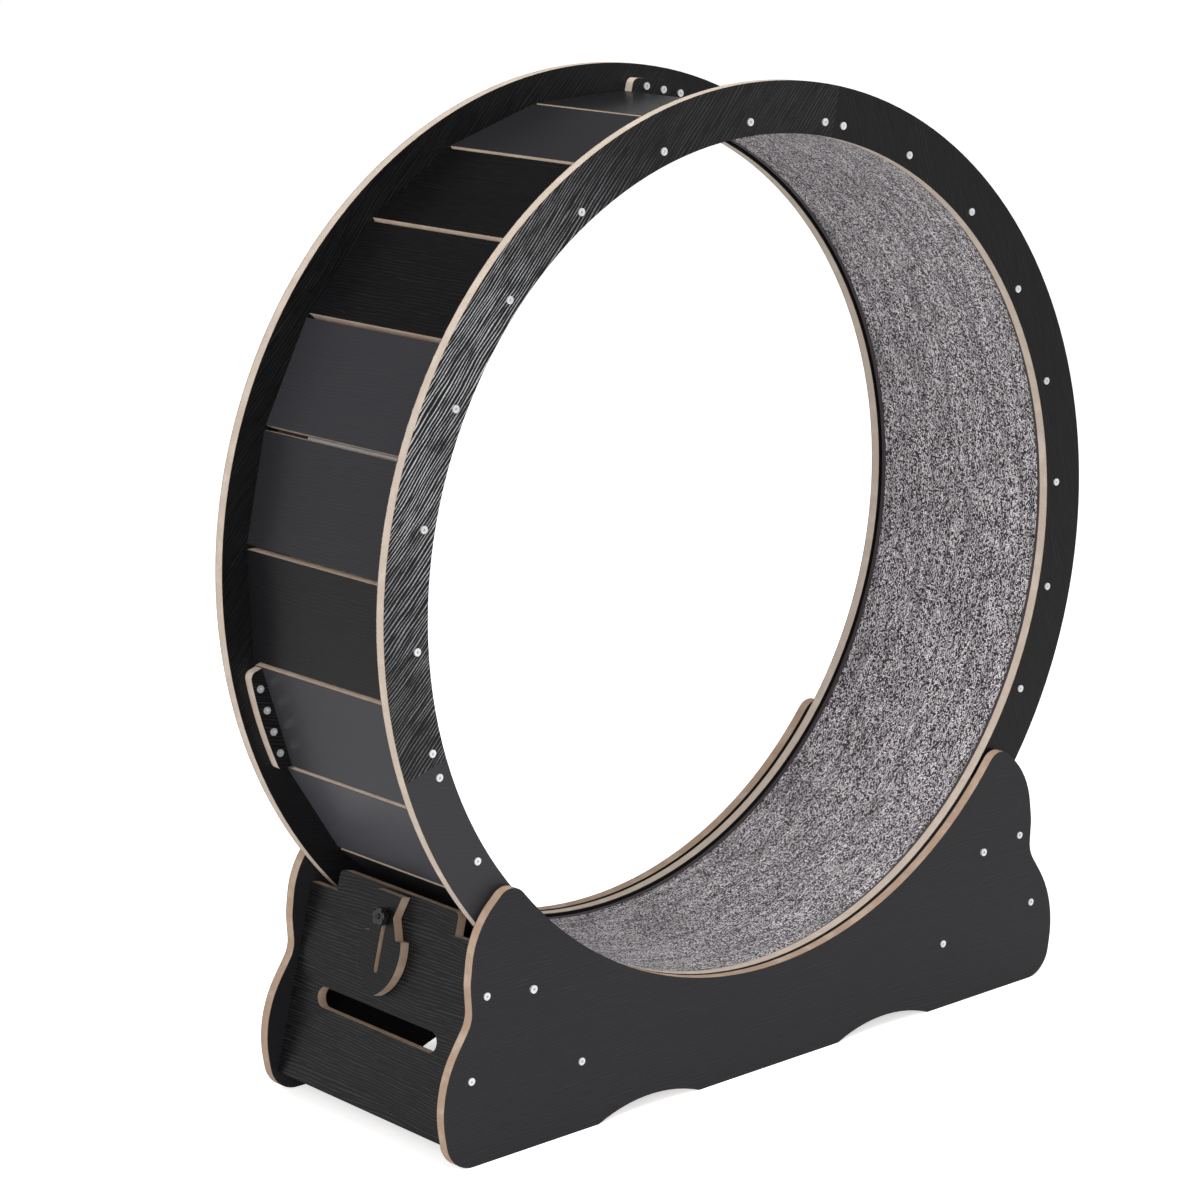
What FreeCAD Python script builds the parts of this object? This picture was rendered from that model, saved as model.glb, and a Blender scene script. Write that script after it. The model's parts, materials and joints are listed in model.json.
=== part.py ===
import FreeCAD, Part
import math
import os
import Sketcher
from FreeCAD import Placement, Rotation, Vector

# A large exercise wheel for a cat. A drum of flat boards between two rings turns on four grooved rollers
# in a cradle of four boards, and a sliding plate on the left end of the cradle blocks it.
# Millimetres. Z is up from the floor, Y is the wheel's axle, the front is -Y and the left end is -X.

DRIVING_SIZES = [
    # boards
    ("board", 12.0, "thickness of every board"),
    # wheel
    ("ring_outer_radius", 500.0, "outer edge of the two rings"),
    ("ring_band", 54.0, "radial width of a ring"),
    ("wheel_width", 278.0, "over the outer faces of the rings"),
    ("segment_count", 3, "segments in a ring"),
    ("slats_per_segment", 8, "slats from one ring joint to the next"),
    ("joint_angle", 77.2, "first ring joint, from +X towards +Z, degrees"),
    ("slat_setback", 8.4, "from a ring's inner edge out to the slats"),
    ("slat_gap", 2.5, "between the inner corners of two slats"),
    ("joint_screw_offset", 13.7, "ring screw beside a ring joint"),
    ("splice_margin", 15.0, "from a ring's outer edge in to a splice plate"),
    ("splice_length", 115.0, "length of a splice plate"),
    ("splice_corner", 8.0, "outer corners of a splice plate"),
    ("splice_screw_spacing", 25.3, "between the screws of a splice plate"),
    # carpet
    ("carpet_thickness", 4.5, "backing and pile"),
    ("carpet_gap", 0.2, "between the carpet's back and the slats"),
    ("carpet_side_gap", 1.0, "between the carpet's edge and a ring"),
    # rollers
    ("axle_angle", 40.5, "roller axles from straight down, degrees"),
    ("tread_radius", 12.3, "bottom of a roller's groove"),
    ("tread_gap", 0.1, "between a ring's edge and the groove"),
    ("flange_radius", 17.5, "flanges of a roller"),
    ("flange_thickness", 3.0, "one flange"),
    ("flange_gap", 0.5, "between a ring's face and a flange"),
    ("flange_lead_in", 0.8, "lead-in of the groove"),
    ("roller_end_gap", 0.5, "between a roller and the side panel"),
    ("roller_lip", 1.5, "lip that holds the bearing in the tyre"),
    ("bearing_radius", 8.0, "outside of the ball bearing"),
    ("bearing_width", 5.0, "width of the ball bearing"),
    ("bearing_inner_radius", 4.0, "outside of the bearing's inner ring"),
    ("spacer_radius", 3.6, "sleeve between bearing and side panel"),
    ("nut_gap", 0.3, "inner ring past the bearing, under the nut"),
    ("bearing_seat", 0.02, "radial play of the bearing in the tyre"),
    ("running_gap", 0.05, "radial play of what turns on a shaft"),
    ("axle_bolt_radius", 2.5, "roller axle bolt"),
    ("axle_bolt_length", 30.0, "roller axle bolt under its head"),
    ("axle_head_radius", 4.3, "head of the axle bolt"),
    ("axle_head_height", 2.2, "head of the axle bolt"),
    ("axle_nut_flats", 8.0, "axle nut across its flats"),
    ("axle_nut_height", 4.0, "axle nut"),
    # cradle
    ("floor_gap", 60.0, "from the floor up to the wheel"),
    ("tip_angle", 36.9, "top corner of a side panel, below level, degrees"),
    ("tip_radius", 20.0, "rounding of the top corner"),
    ("shoulder_out", 73.7, "shoulder corner, out from the roller axle"),
    ("shoulder_up", 77.6, "shoulder corner, up from the roller axle"),
    ("shoulder_radius", 90.0, "rounding of the shoulder"),
    ("bulge_out", 80.7, "bulge corner, out from the roller axle"),
    ("bulge_up", 21.6, "bulge corner, up from the roller axle"),
    ("bulge_radius", 70.0, "rounding of the bulge"),
    ("waist_out", 78.5, "waist corner, out from the roller axle"),
    ("waist_down", 15.9, "waist corner, down from the roller axle"),
    ("waist_radius", 35.0, "rounding of the waist"),
    ("flank_out", 124.2, "flank corner, out from the roller axle"),
    ("flank_height", 86.5, "flank corner above the floor"),
    ("flank_radius", 120.0, "rounding of the flank"),
    ("toe_out", 109.2, "toe corner, out from the roller axle"),
    ("toe_radius", 34.0, "rounding of the toe"),
    ("foot_inner", 104.0, "half length of the middle foot"),
    ("foot_outer", 246.0, "inner end of the outer feet"),
    ("scallop_radius", 187.0, "arches between the feet"),
    # end panels
    ("end_tilt", 14.23, "lean of an end panel towards the wheel, degrees"),
    ("end_screw_out", 82.2, "lower end-panel screw, out from the axle"),
    ("end_screw_down", 78.1, "lower end-panel screw, down from the axle"),
    ("end_screw_spacing", 87.9, "between the two screws of an end panel"),
    ("end_bottom", 72.0, "from the lower screw down to the edge"),
    ("end_notch", 135.5, "from the lower screw up to the notches"),
    ("end_top", 159.5, "from the lower screw up to the tongue's edge"),
    ("tongue_half", 98.0, "half width of the tongue"),
    ("tongue_corner", 7.0, "corners of the tongue"),
    ("hand_slot_length", 200.0, "hand slot"),
    ("hand_slot_height", 22.0, "hand slot"),
    ("hand_slot_up", 23.0, "centre of the hand slot above the screw"),
    # cross beams
    ("beam_in", 63.7, "cross beam, in from the roller axle"),
    ("beam_height", 75.9, "centre of a cross beam above the floor"),
    ("beam_depth", 60.0, "upright depth of a cross beam"),
    # wood screws
    ("screw_radius", 2.2, "shank of the wood screws"),
    ("screw_head_radius", 4.0, "head of the wood screws"),
    ("screw_head_height", 1.4, "head of the wood screws"),
    ("screw_fit", 0.05, "radial play of screws and bolts in holes"),
    ("socket_flats", 2.6, "hexagon socket of the heads"),
    ("socket_depth", 2.0, "hexagon socket of the heads"),
    ("frame_screw_length", 40.0, "ring and cradle screws"),
    ("splice_screw_length", 20.0, "splice screws"),
    ("pilot_spare", 1.0, "pilot hole past the tip of its screw"),
    ("overcut", 1.0, "how far a cutting shape passes the faces that it cuts"),
    # lock
    ("lock_gap", 0.2, "between the lock plate and what it slides on"),
    ("lock_top", 156.5, "top of the lock plate above the low screw"),
    ("lock_top_half", 20.8, "half width of its top"),
    ("lock_waist", 133.0, "its waist above the low screw"),
    ("lock_waist_half", 12.7, "half width of its waist"),
    ("lock_step", 111.5, "its step above the low screw"),
    ("lock_step_inner", 22.0, "half width above the step"),
    ("lock_step_outer", 31.0, "half width below the step"),
    ("lock_nose", 47.5, "its nose above the low screw"),
    ("lock_flank_radius", 55.0, "its two rounded flanks"),
    ("lock_nose_radius", 6.0, "rounding of the nose"),
    ("lock_slot_bottom", 72.3, "lower end of its slot"),
    ("lock_slot_half", 3.3, "half width of its slot"),
    ("lock_bolt_up", 131.5, "bolt above the low screw"),
    ("lock_bolt_radius", 3.0, "bolt of the lock"),
    ("lock_head_radius", 6.6, "round head of the bolt"),
    ("lock_head_height", 3.0, "round head of the bolt"),
    ("knob_radius", 9.6, "lobes of the knob"),
    ("knob_height", 9.4, "knob above the lock plate"),
    ("knob_collar_radius", 6.0, "collar of the knob"),
    ("knob_collar_height", 2.4, "collar of the knob"),
    ("knob_lobes", 5, "lobes of the knob"),
    ("knob_scallop_radius", 3.6, "hollows between the lobes"),
    ("knob_edge", 1.2, "rounding of the knob's top edge"),
    ("bolt_stickout", 1.2, "bolt past the knob"),
]

# Sizes that follow from the driving ones, as expressions.
PITCH = "(360 / (Sizes.segment_count * Sizes.slats_per_segment))"
SEGMENT_ANGLE = "(360 / Sizes.segment_count)"
HUB_HEIGHT = "(Sizes.floor_gap + Sizes.ring_outer_radius)"
RING_INNER = "(Sizes.ring_outer_radius - Sizes.ring_band)"
RING_OUTER_FACE = "(Sizes.wheel_width / 2)"
RING_INNER_FACE = "(Sizes.wheel_width / 2 - Sizes.board)"
RING_MIDDLE = "(Sizes.wheel_width / 2 - Sizes.board / 2)"
SLAT_INNER = f"({RING_INNER} + Sizes.slat_setback)"
SLAT_MIDDLE = f"({SLAT_INNER} + Sizes.board / 2)"
SLAT_OUTER = f"({SLAT_INNER} + Sizes.board)"
SLAT_WIDTH = f"(2 * {SLAT_INNER} * tan({PITCH} / 2) - Sizes.slat_gap)"
SLAT_LENGTH = f"(2 * {RING_INNER_FACE})"
SPLICE_OUTER = "(Sizes.ring_outer_radius - Sizes.splice_margin)"
SPLICE_ROW = f"(({SPLICE_OUTER} + {SLAT_OUTER}) / 2)"
SPLICE_FACE = f"({RING_INNER_FACE} - Sizes.board)"
CARPET_OUTER = f"({SLAT_INNER} - Sizes.carpet_gap)"
CARPET_INNER = f"({CARPET_OUTER} - Sizes.carpet_thickness)"
AXLE_RADIUS = "(Sizes.ring_outer_radius + Sizes.tread_gap + Sizes.tread_radius)"
AXLE_X = f"({AXLE_RADIUS} * sin(Sizes.axle_angle))"
AXLE_HEIGHT = f"({HUB_HEIGHT} - {AXLE_RADIUS} * cos(Sizes.axle_angle))"
GROOVE_HALF = "(Sizes.board / 2 + Sizes.flange_gap)"
ROLLER_HALF = f"({GROOVE_HALF} + Sizes.flange_thickness)"
SIDE_INNER_FACE = f"({RING_MIDDLE} + {ROLLER_HALF} + Sizes.roller_end_gap)"
SIDE_OUTER_FACE = f"({SIDE_INNER_FACE} + Sizes.board)"
END_SCREW_X = f"({AXLE_X} + Sizes.end_screw_out)"
END_SCREW_HEIGHT = f"({AXLE_HEIGHT} - Sizes.end_screw_down)"
BEAM_X = f"({AXLE_X} - Sizes.beam_in)"
SCREW_HOLE = "(Sizes.screw_radius + Sizes.screw_fit)"
PILOT_DEPTH = "(Sizes.frame_screw_length - Sizes.board + Sizes.pilot_spare)"
SPLICE_PILOT = "(Sizes.splice_screw_length - Sizes.board + Sizes.pilot_spare)"
LOCK_OUTER = "(Sizes.board / 2 + Sizes.lock_gap + Sizes.board)"
LOCK_BOLT_LENGTH = "(2 * Sizes.board + 2 * Sizes.lock_gap + Sizes.knob_height + Sizes.bolt_stickout)"

document = FreeCAD.newDocument("cat_wheel")
sizes = document.addObject("Spreadsheet::Sheet", "Sizes")
for row, (alias, number, meaning) in enumerate(DRIVING_SIZES, start=1):
    sizes.set(f"A{row}", str(number))
    sizes.setAlias(f"A{row}", alias)
    sizes.set(f"B{row}", meaning)
document.recompute()
reader = document.addObject("Part::Feature", "Reader")

SUBPARTS = []


def value(expression):
    """The number that an expression of the sheet's sizes comes to."""
    return float(reader.evalExpression(expression))


def bind(item, **expressions):
    """Ties an object's sizes to the sheet."""
    for name, expression in expressions.items():
        item.setExpression(name, str(expression))
    return item


def subpart(item, label):
    """Names a finished piece, which is exported under that name."""
    item.Label = label
    SUBPARTS.append(item)
    return item


# Places. A piece of the wheel or a roller is drawn with its axle along its own Z, which points away from
# the wheel's middle, to the front where side is 1 and to the rear where it is -1.

def at_wheel(side, offset, angle):
    """On the wheel, offset from its middle plane and turned from +X towards +Z."""
    return (f"placement(vector(0; {-side} * {offset}; {HUB_HEIGHT}); rotation(vector(1; 0; 0); {90 * side}))"
            f" * placement(vector(0; 0; 0); rotation(vector(0; 0; 1); {side} * ({angle})))")


def at_side(side, across, offset, height):
    """On the cradle, facing the front or the rear."""
    return (f"placement(vector({across}; {-side} * {offset}; {height});"
            f" rotation(vector(1; 0; 0); {90 * side}))")


def at_end(end, outward, up="0"):
    """On an end panel, whose middle plane passes through its lower screws. end is -1 at the left."""
    return (f"placement(vector({end} * {END_SCREW_X}; 0; {END_SCREW_HEIGHT});"
            f" rotation(vector(0; 1; 0); {-end} * Sizes.end_tilt))"
            f" * placement(vector({end} * {outward}; 0; {up}); rotation(vector(0; 0; 1); 0))")


TURN_OUT = " * placement(vector(0; 0; 0); rotation(vector(0; 1; 0); -90))"


def shifted(across, along):
    """A further shift on a face, in that face's own directions."""
    return f" * placement(vector({across}; {along}; 0); rotation(vector(0; 0; 1); 0))"


def placed(item, expression):
    item.setExpression("Placement", expression)
    return item


def placement_of(expression):
    return reader.evalExpression(expression)


# Solids from primitives.

def cylinder(name, radius, height, x="0", y="0", z="0", **more):
    item = document.addObject("Part::Cylinder", name)
    bind(item, Radius=radius, Height=height, **more)
    return placed(item, f"placement(vector({x}; {y}; {z}); rotation(vector(0; 0; 1); 0))")


def bore(name, radius, length, start):
    """A cylinder that cuts right through a length of material, past both its faces."""
    return cylinder(name, radius, f"{length} + 2 * Sizes.overcut", z=f"{start} - Sizes.overcut")


def cut(name, base, tools):
    """A base with all its tools cut from it."""
    tool = tools[0]
    if len(tools) > 1:
        tool = document.addObject("Part::MultiFuse", name + "_tools")
        tool.Shapes = tools
    item = document.addObject("Part::Cut", name)
    item.Base = base
    item.Tool = tool
    return item


def fuse(name, pieces):
    item = document.addObject("Part::MultiFuse", name)
    item.Shapes = pieces
    item.Refine = True
    return item


def group(label, master, places):
    """Identical fasteners as separate solids of one node."""
    document.recompute()
    solids = []
    for place in places:
        solid = master.Shape.copy()
        solid.Placement = placement_of(place)
        solids.append(solid)
    item = document.addObject("Part::Feature", label)
    item.Shape = Part.makeCompound(solids)
    item.Placement = Placement()
    return subpart(item, label)


# Boards and turned pieces from sketches.

def new_body(name):
    return document.addObject("PartDesign::Body", name)


def new_sketch(body, plane):
    sketch = body.newObject("Sketcher::SketchObject", body.Name + "_outline")
    origin_plane = [f for f in body.Origin.OriginFeatures if f.Role == plane][0]
    sketch.AttachmentSupport = [(origin_plane, "")]
    sketch.MapMode = "FlatFace"
    return sketch


def constrain(sketch, expression, *constraint):
    index = sketch.addConstraint(Sketcher.Constraint(*constraint, value(expression)))
    sketch.setExpression(f"Constraints[{index}]", expression)


def arc_between(start, end, radius):
    """The shorter arc from start to end. Its centre is to the left where radius is positive."""
    middle = (start + end) / 2
    along = end - start
    half = along.Length / 2
    left = Vector(-along.y, along.x, 0).normalize()
    rise = math.sqrt(max(radius * radius - half * half, 0.0))
    centre = middle + left * math.copysign(rise, radius)
    bulge = middle - left * math.copysign(abs(radius) - rise, radius)
    return Part.Arc(start, bulge, end), centre


def draw_outline(sketch, corners, arcs=None):
    """A closed outline through corners, given as expressions. arcs maps the number of a side to the radius
    of its arc, an expression, and to 1 where the arc's centre is on the left of the way round, else -1."""
    arcs = arcs or {}
    points = [Vector(value(x), value(y), 0) for x, y in corners]
    count = len(points)
    first = sketch.GeometryCount
    heads = []
    tails = []
    for number in range(count):
        start = points[number]
        end = points[(number + 1) % count]
        if number in arcs:
            radius, side = arcs[number]
            curve, _ = arc_between(start, end, side * value(radius))
            sketch.addGeometry(curve)
            forward = sketch.getPoint(first + number, 1).distanceToPoint(start) < 1e-6
            heads.append(1 if forward else 2)
            tails.append(2 if forward else 1)
        else:
            sketch.addGeometry(Part.LineSegment(start, end))
            heads.append(1)
            tails.append(2)
    for number in range(count):
        following = (number + 1) % count
        sketch.addConstraint(Sketcher.Constraint(
            "Coincident", first + number, tails[number], first + following, heads[following]))
    for number, (x, y) in enumerate(corners):
        constrain(sketch, x, "DistanceX", -1, 1, first + number, heads[number])
        constrain(sketch, y, "DistanceY", -1, 1, first + number, heads[number])
    for number, (radius, _) in arcs.items():
        constrain(sketch, radius, "Radius", first + number)


def draw_circle(sketch, x, y, radius):
    number = sketch.GeometryCount
    sketch.addGeometry(Part.Circle(Vector(value(x), value(y), 0), Vector(0, 0, 1), value(radius)))
    constrain(sketch, x, "DistanceX", -1, 1, number, 3)
    constrain(sketch, y, "DistanceY", -1, 1, number, 3)
    constrain(sketch, radius, "Radius", number)


def pad_board(body, sketch):
    pad = body.newObject("PartDesign::Pad", body.Name + "_pad")
    pad.Profile = sketch
    bind(pad, Length="Sizes.board")
    sketch.Visibility = False
    document.recompute()
    return pad


def edges_through(shape, spots, across):
    """Names of the straight edges along the axis across that stand nearest to the spots."""
    names = []
    for spot in spots:
        best = None
        for number, edge in enumerate(shape.Edges, start=1):
            if edge.Curve.TypeId != "Part::GeomLine":
                continue
            direction = (edge.Vertexes[-1].Point - edge.Vertexes[0].Point).normalize()
            if abs(direction.dot(across)) < 0.999:
                continue
            gap = edge.CenterOfMass - spot
            gap = gap - across * gap.dot(across)
            if best is None or gap.Length < best[0]:
                best = (gap.Length, f"Edge{number}")
        names.append(best[1])
    return names


def round_corners(body, spots, radius, across):
    """Rounds the corners of a board that stand at the spots."""
    before = body.Tip
    fillet = body.newObject("PartDesign::Fillet", body.Name + "_round")
    fillet.Base = (before, edges_through(before.Shape, spots, across))
    bind(fillet, Radius=radius)
    document.recompute()


def turn_profile(body, corners):
    """Turns a profile of radius and height about the body's Z."""
    sketch = new_sketch(body, "XZ_Plane")
    draw_outline(sketch, corners)
    turned = body.newObject("PartDesign::Revolution", body.Name + "_turned")
    turned.Profile = sketch
    turned.ReferenceAxis = (sketch, ["V_Axis"])
    turned.Angle = 360
    sketch.Visibility = False
    return turned


# The wheel.

def segment_screw_spots():
    """Ring screws of one segment, as the angle of their slat from the segment's middle and their place along
    that slat's edge: one in the middle of each whole slat, and one beside each end of the segment."""
    steps = int(value("Sizes.slats_per_segment"))
    spots = [(f"(0 - {SEGMENT_ANGLE} / 2)", "Sizes.joint_screw_offset")]
    for number in range(1, steps):
        spots.append((f"({number - steps / 2} * {PITCH})", "0"))
    spots.append((f"({SEGMENT_ANGLE} / 2)", "(0 - Sizes.joint_screw_offset)"))
    return spots


def splice_screw_offsets():
    """Places of the four screws along a splice plate, in screw pitches from the joint."""
    return (-1.5, -0.5, 0.5, 1.5)


def ring_segment(label, side, middle_angle):
    """A third of a ring, its inner face at its own z = 0."""
    half = f"({SEGMENT_ANGLE} / 2)"
    name = label
    disc = document.addObject("Part::Cylinder", name + "_disc")
    bind(disc, Radius="Sizes.ring_outer_radius", Height="Sizes.board", Angle=SEGMENT_ANGLE)
    placed(disc, f"placement(vector(0; 0; 0); rotation(vector(0; 0; 1); -{half}))")
    tools = [cylinder(name + "_bore", RING_INNER, "Sizes.board * 3", z="-Sizes.board")]
    for number, (angle, along) in enumerate(segment_screw_spots()):
        tools.append(cylinder(
            f"{name}_hole{number}", SCREW_HOLE, "Sizes.board * 3",
            x=f"{SLAT_MIDDLE} * cos{angle} - {along} * sin{angle}",
            y=f"{SLAT_MIDDLE} * sin{angle} + {along} * cos{angle}", z="-Sizes.board"))
    for end in (-1, 1):
        for step in (0.5, 1.5):
            along = f"({end} * Sizes.splice_screw_spacing * {step})"
            tools.append(cylinder(
                f"{name}_splice{end + 1}{int(step)}", SCREW_HOLE, SPLICE_PILOT,
                x=f"{SPLICE_ROW} * cos({end} * {half}) + {along} * sin({end} * {half})",
                y=f"{SPLICE_ROW} * sin({end} * {half}) - {along} * cos({end} * {half})"))
    piece = cut(name, disc, tools)
    placed(piece, at_wheel(side, RING_INNER_FACE, middle_angle))
    return subpart(piece, label)


def slat(label, number):
    """A flat board across the drum, with a screw hole in each end, or two where it spans a ring joint."""
    board = document.addObject("Part::Box", label + "_board")
    bind(board, Length="Sizes.board", Width=SLAT_WIDTH, Height=SLAT_LENGTH)
    placed(board, f"placement(vector({SLAT_INNER}; -{SLAT_WIDTH} / 2; -{SLAT_LENGTH} / 2);"
                  " rotation(vector(0; 0; 1); 0))")
    on_joint = number % int(value("Sizes.slats_per_segment")) == 0
    offsets = ("-Sizes.joint_screw_offset", "Sizes.joint_screw_offset") if on_joint else ("0",)
    tools = []
    starts = (f"-{SLAT_LENGTH} / 2 - Sizes.overcut", f"{SLAT_LENGTH} / 2 - {PILOT_DEPTH}")
    for end, start in enumerate(starts):
        for row, offset in enumerate(offsets):
            tools.append(cylinder(f"{label}_pilot{end}{row}", SCREW_HOLE, f"{PILOT_DEPTH} + Sizes.overcut",
                                  x=SLAT_MIDDLE, y=offset, z=start))
    piece = cut(label, board, tools)
    placed(piece, at_wheel(1, "0", f"Sizes.joint_angle + {number} * {PITCH}"))
    return subpart(piece, label)


def splice_plate(label, side, joint):
    """A plate behind a ring joint. It sits on the slat there and follows the ring's curve."""
    body = new_body(label)
    sketch = new_sketch(body, "XY_Plane")
    half = "(Sizes.splice_length / 2)"
    rise = f"(sqrt({SPLICE_OUTER} * {SPLICE_OUTER} - {half} * {half}))"
    corners = [(SLAT_OUTER, f"-{half}"), (rise, f"-{half}"), (rise, half), (SLAT_OUTER, half)]
    draw_outline(sketch, corners, {1: (SPLICE_OUTER, 1)})
    for step in splice_screw_offsets():
        draw_circle(sketch, SPLICE_ROW, f"{step} * Sizes.splice_screw_spacing", SCREW_HOLE)
    pad_board(body, sketch)
    spots = [Vector(value(rise), end * value(half), 0) for end in (-1, 1)]
    round_corners(body, spots, "Sizes.splice_corner", Vector(0, 0, 1))
    placed(body, at_wheel(side, SPLICE_FACE, f"Sizes.joint_angle + {joint} * {SEGMENT_ANGLE}"))
    return subpart(body, label)


def carpet():
    length = f"({SLAT_LENGTH} - 2 * Sizes.carpet_side_gap)"
    outside = cylinder("carpet_outside", CARPET_OUTER, length, z=f"-{length} / 2")
    inside = bore("carpet_inside", CARPET_INNER, length, f"-{length} / 2")
    piece = cut("carpet", outside, [inside])
    placed(piece, at_wheel(1, "0", "0"))
    return subpart(piece, "carpet")


# Fasteners.

def headed_screw(name, shank, length, head, height):
    """A socket screw whose head sits on z = 0 and whose shank points to -z."""
    shank_piece = cylinder(name + "_shank", shank, length, z=f"-{length}")
    head_piece = cylinder(name + "_head", head, height)
    socket = document.addObject("Part::Prism", name + "_socket")
    socket.Polygon = 6
    bind(socket, Circumradius="Sizes.socket_flats / sqrt(3)", Height="Sizes.socket_depth + Sizes.overcut")
    placed(socket, f"placement(vector(0; 0; {height} - Sizes.socket_depth); rotation(vector(0; 0; 1); 0))")
    return cut(name, fuse(name + "_solid", [shank_piece, head_piece]), [socket])


def wood_screw(name, length):
    return headed_screw(name, "Sizes.screw_radius", length,
                        "Sizes.screw_head_radius", "Sizes.screw_head_height")


def ring_screws():
    master = wood_screw("ring_screw_master", "Sizes.frame_screw_length")
    places = []
    for side in (1, -1):
        for segment in range(int(value("Sizes.segment_count"))):
            for angle, along in segment_screw_spots():
                turn = f"Sizes.joint_angle + {segment + 0.5} * {SEGMENT_ANGLE} + {angle}"
                places.append(at_wheel(side, RING_OUTER_FACE, turn)
                              + shifted(SLAT_MIDDLE, f"{side} * {along}"))
    return group("ring_screws", master, places)


def splice_screws():
    """They go in from inside the drum, so their heads point to its middle."""
    master = wood_screw("splice_screw_master", "Sizes.splice_screw_length")
    places = []
    for side in (1, -1):
        for joint in range(int(value("Sizes.segment_count"))):
            for step in splice_screw_offsets():
                turn = f"Sizes.joint_angle + {joint} * {SEGMENT_ANGLE}"
                places.append(at_wheel(-side, f"(-{SPLICE_FACE})", turn)
                              + shifted(SPLICE_ROW, f"{step} * Sizes.splice_screw_spacing"))
    return group("splice_screws", master, places)


def cradle_screw_spots(end):
    """The screws at one end of a side panel, as expressions of x and height: two in the end panel and one
    in the cross beam."""
    upper_x = f"({end} * ({END_SCREW_X} - Sizes.end_screw_spacing * sin(Sizes.end_tilt)))"
    upper_z = f"({END_SCREW_HEIGHT} + Sizes.end_screw_spacing * cos(Sizes.end_tilt))"
    return [(f"({end} * {END_SCREW_X})", END_SCREW_HEIGHT), (upper_x, upper_z),
            (f"({end} * {BEAM_X})", "Sizes.beam_height")]


def cradle_screws():
    master = wood_screw("cradle_screw_master", "Sizes.frame_screw_length")
    places = []
    for side in (1, -1):
        for end in (-1, 1):
            for across, height in cradle_screw_spots(end):
                places.append(at_side(side, across, SIDE_OUTER_FACE, height))
    return group("cradle_screws", master, places)


# The cradle.

def side_panel(label, side):
    """A board that follows the wheel's inner edge above and stands on three feet below."""
    body = new_body(label)
    sketch = new_sketch(body, "XY_Plane")
    half_outline = [
        (f"({RING_INNER} * cos(Sizes.tip_angle))", f"({HUB_HEIGHT} - {RING_INNER} * sin(Sizes.tip_angle))"),
        (f"({AXLE_X} + Sizes.shoulder_out)", f"({AXLE_HEIGHT} + Sizes.shoulder_up)"),
        (f"({AXLE_X} + Sizes.bulge_out)", f"({AXLE_HEIGHT} + Sizes.bulge_up)"),
        (f"({AXLE_X} + Sizes.waist_out)", f"({AXLE_HEIGHT} - Sizes.waist_down)"),
        (f"({AXLE_X} + Sizes.flank_out)", "Sizes.flank_height"),
        (f"({AXLE_X} + Sizes.toe_out)", "0"),
    ]
    roundings = ("Sizes.tip_radius", "Sizes.shoulder_radius", "Sizes.bulge_radius", "Sizes.waist_radius",
                 "Sizes.flank_radius", "Sizes.toe_radius")
    feet = [("Sizes.foot_outer", "0"), ("Sizes.foot_inner", "0")]
    right = half_outline + feet
    left = [(f"(-{x})", z) for x, z in reversed(right)]
    arch_right = len(right) - 2
    arch_left = len(right)
    closing = len(right) + len(left) - 1
    draw_outline(sketch, right + left, {
        arch_right: ("Sizes.scallop_radius", 1),
        arch_left: ("Sizes.scallop_radius", 1),
        closing: (RING_INNER, 1)})
    for end in (-1, 1):
        for across, height in cradle_screw_spots(end):
            draw_circle(sketch, across, height, SCREW_HOLE)
        draw_circle(sketch, f"({end} * {AXLE_X})", AXLE_HEIGHT, "(Sizes.axle_bolt_radius + Sizes.screw_fit)")
    pad_board(body, sketch)
    for (x, z), radius in zip(half_outline, roundings):
        spots = [Vector(end * value(x), value(z), 0) for end in (-1, 1)]
        round_corners(body, spots, radius, Vector(0, 0, 1))
    face = SIDE_INNER_FACE if side == 1 else SIDE_OUTER_FACE
    placed(body, f"placement(vector(0; {-side} * {face}; 0); rotation(vector(1; 0; 0); 90))")
    return subpart(body, label)


def end_panel(label, end):
    """A leaning board between the side panels. Its tongue reaches up between the rings."""
    body = new_body(label + "_board")
    sketch = new_sketch(body, "YZ_Plane")
    half = SIDE_INNER_FACE
    outline = [(f"(-{half})", "(-Sizes.end_bottom)"), (half, "(-Sizes.end_bottom)"),
               (half, "Sizes.end_notch"), ("Sizes.tongue_half", "Sizes.end_notch"),
               ("Sizes.tongue_half", "Sizes.end_top"), ("(-Sizes.tongue_half)", "Sizes.end_top"),
               ("(-Sizes.tongue_half)", "Sizes.end_notch"), (f"(-{half})", "Sizes.end_notch")]
    draw_outline(sketch, outline)
    draw_slot(sketch, "Sizes.hand_slot_length", "Sizes.hand_slot_height", "Sizes.hand_slot_up")
    if end == -1:
        draw_circle(sketch, "0", "Sizes.lock_bolt_up", "(Sizes.lock_bolt_radius + Sizes.screw_fit)")
    pad_board(body, sketch)
    spots = [Vector(0, hand * value("Sizes.tongue_half"), value("Sizes.end_top")) for hand in (-1, 1)]
    round_corners(body, spots, "Sizes.tongue_corner", Vector(1, 0, 0))
    tools = []
    for hand, start in ((-1, f"-{half} - Sizes.overcut"), (1, f"{half} - {PILOT_DEPTH}")):
        for row, up in enumerate(("0", "Sizes.end_screw_spacing")):
            tool = cylinder(f"{label}_pilot{hand + 1}{row}", SCREW_HOLE, f"{PILOT_DEPTH} + Sizes.overcut")
            placed(tool, f"placement(vector(Sizes.board / 2; {start}; {up}); rotation(vector(1; 0; 0); -90))")
            tools.append(tool)
    piece = cut(label, body, tools)
    placed(piece, at_end(end, "0") + shifted("-Sizes.board / 2", "0"))
    return subpart(piece, label)


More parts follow.
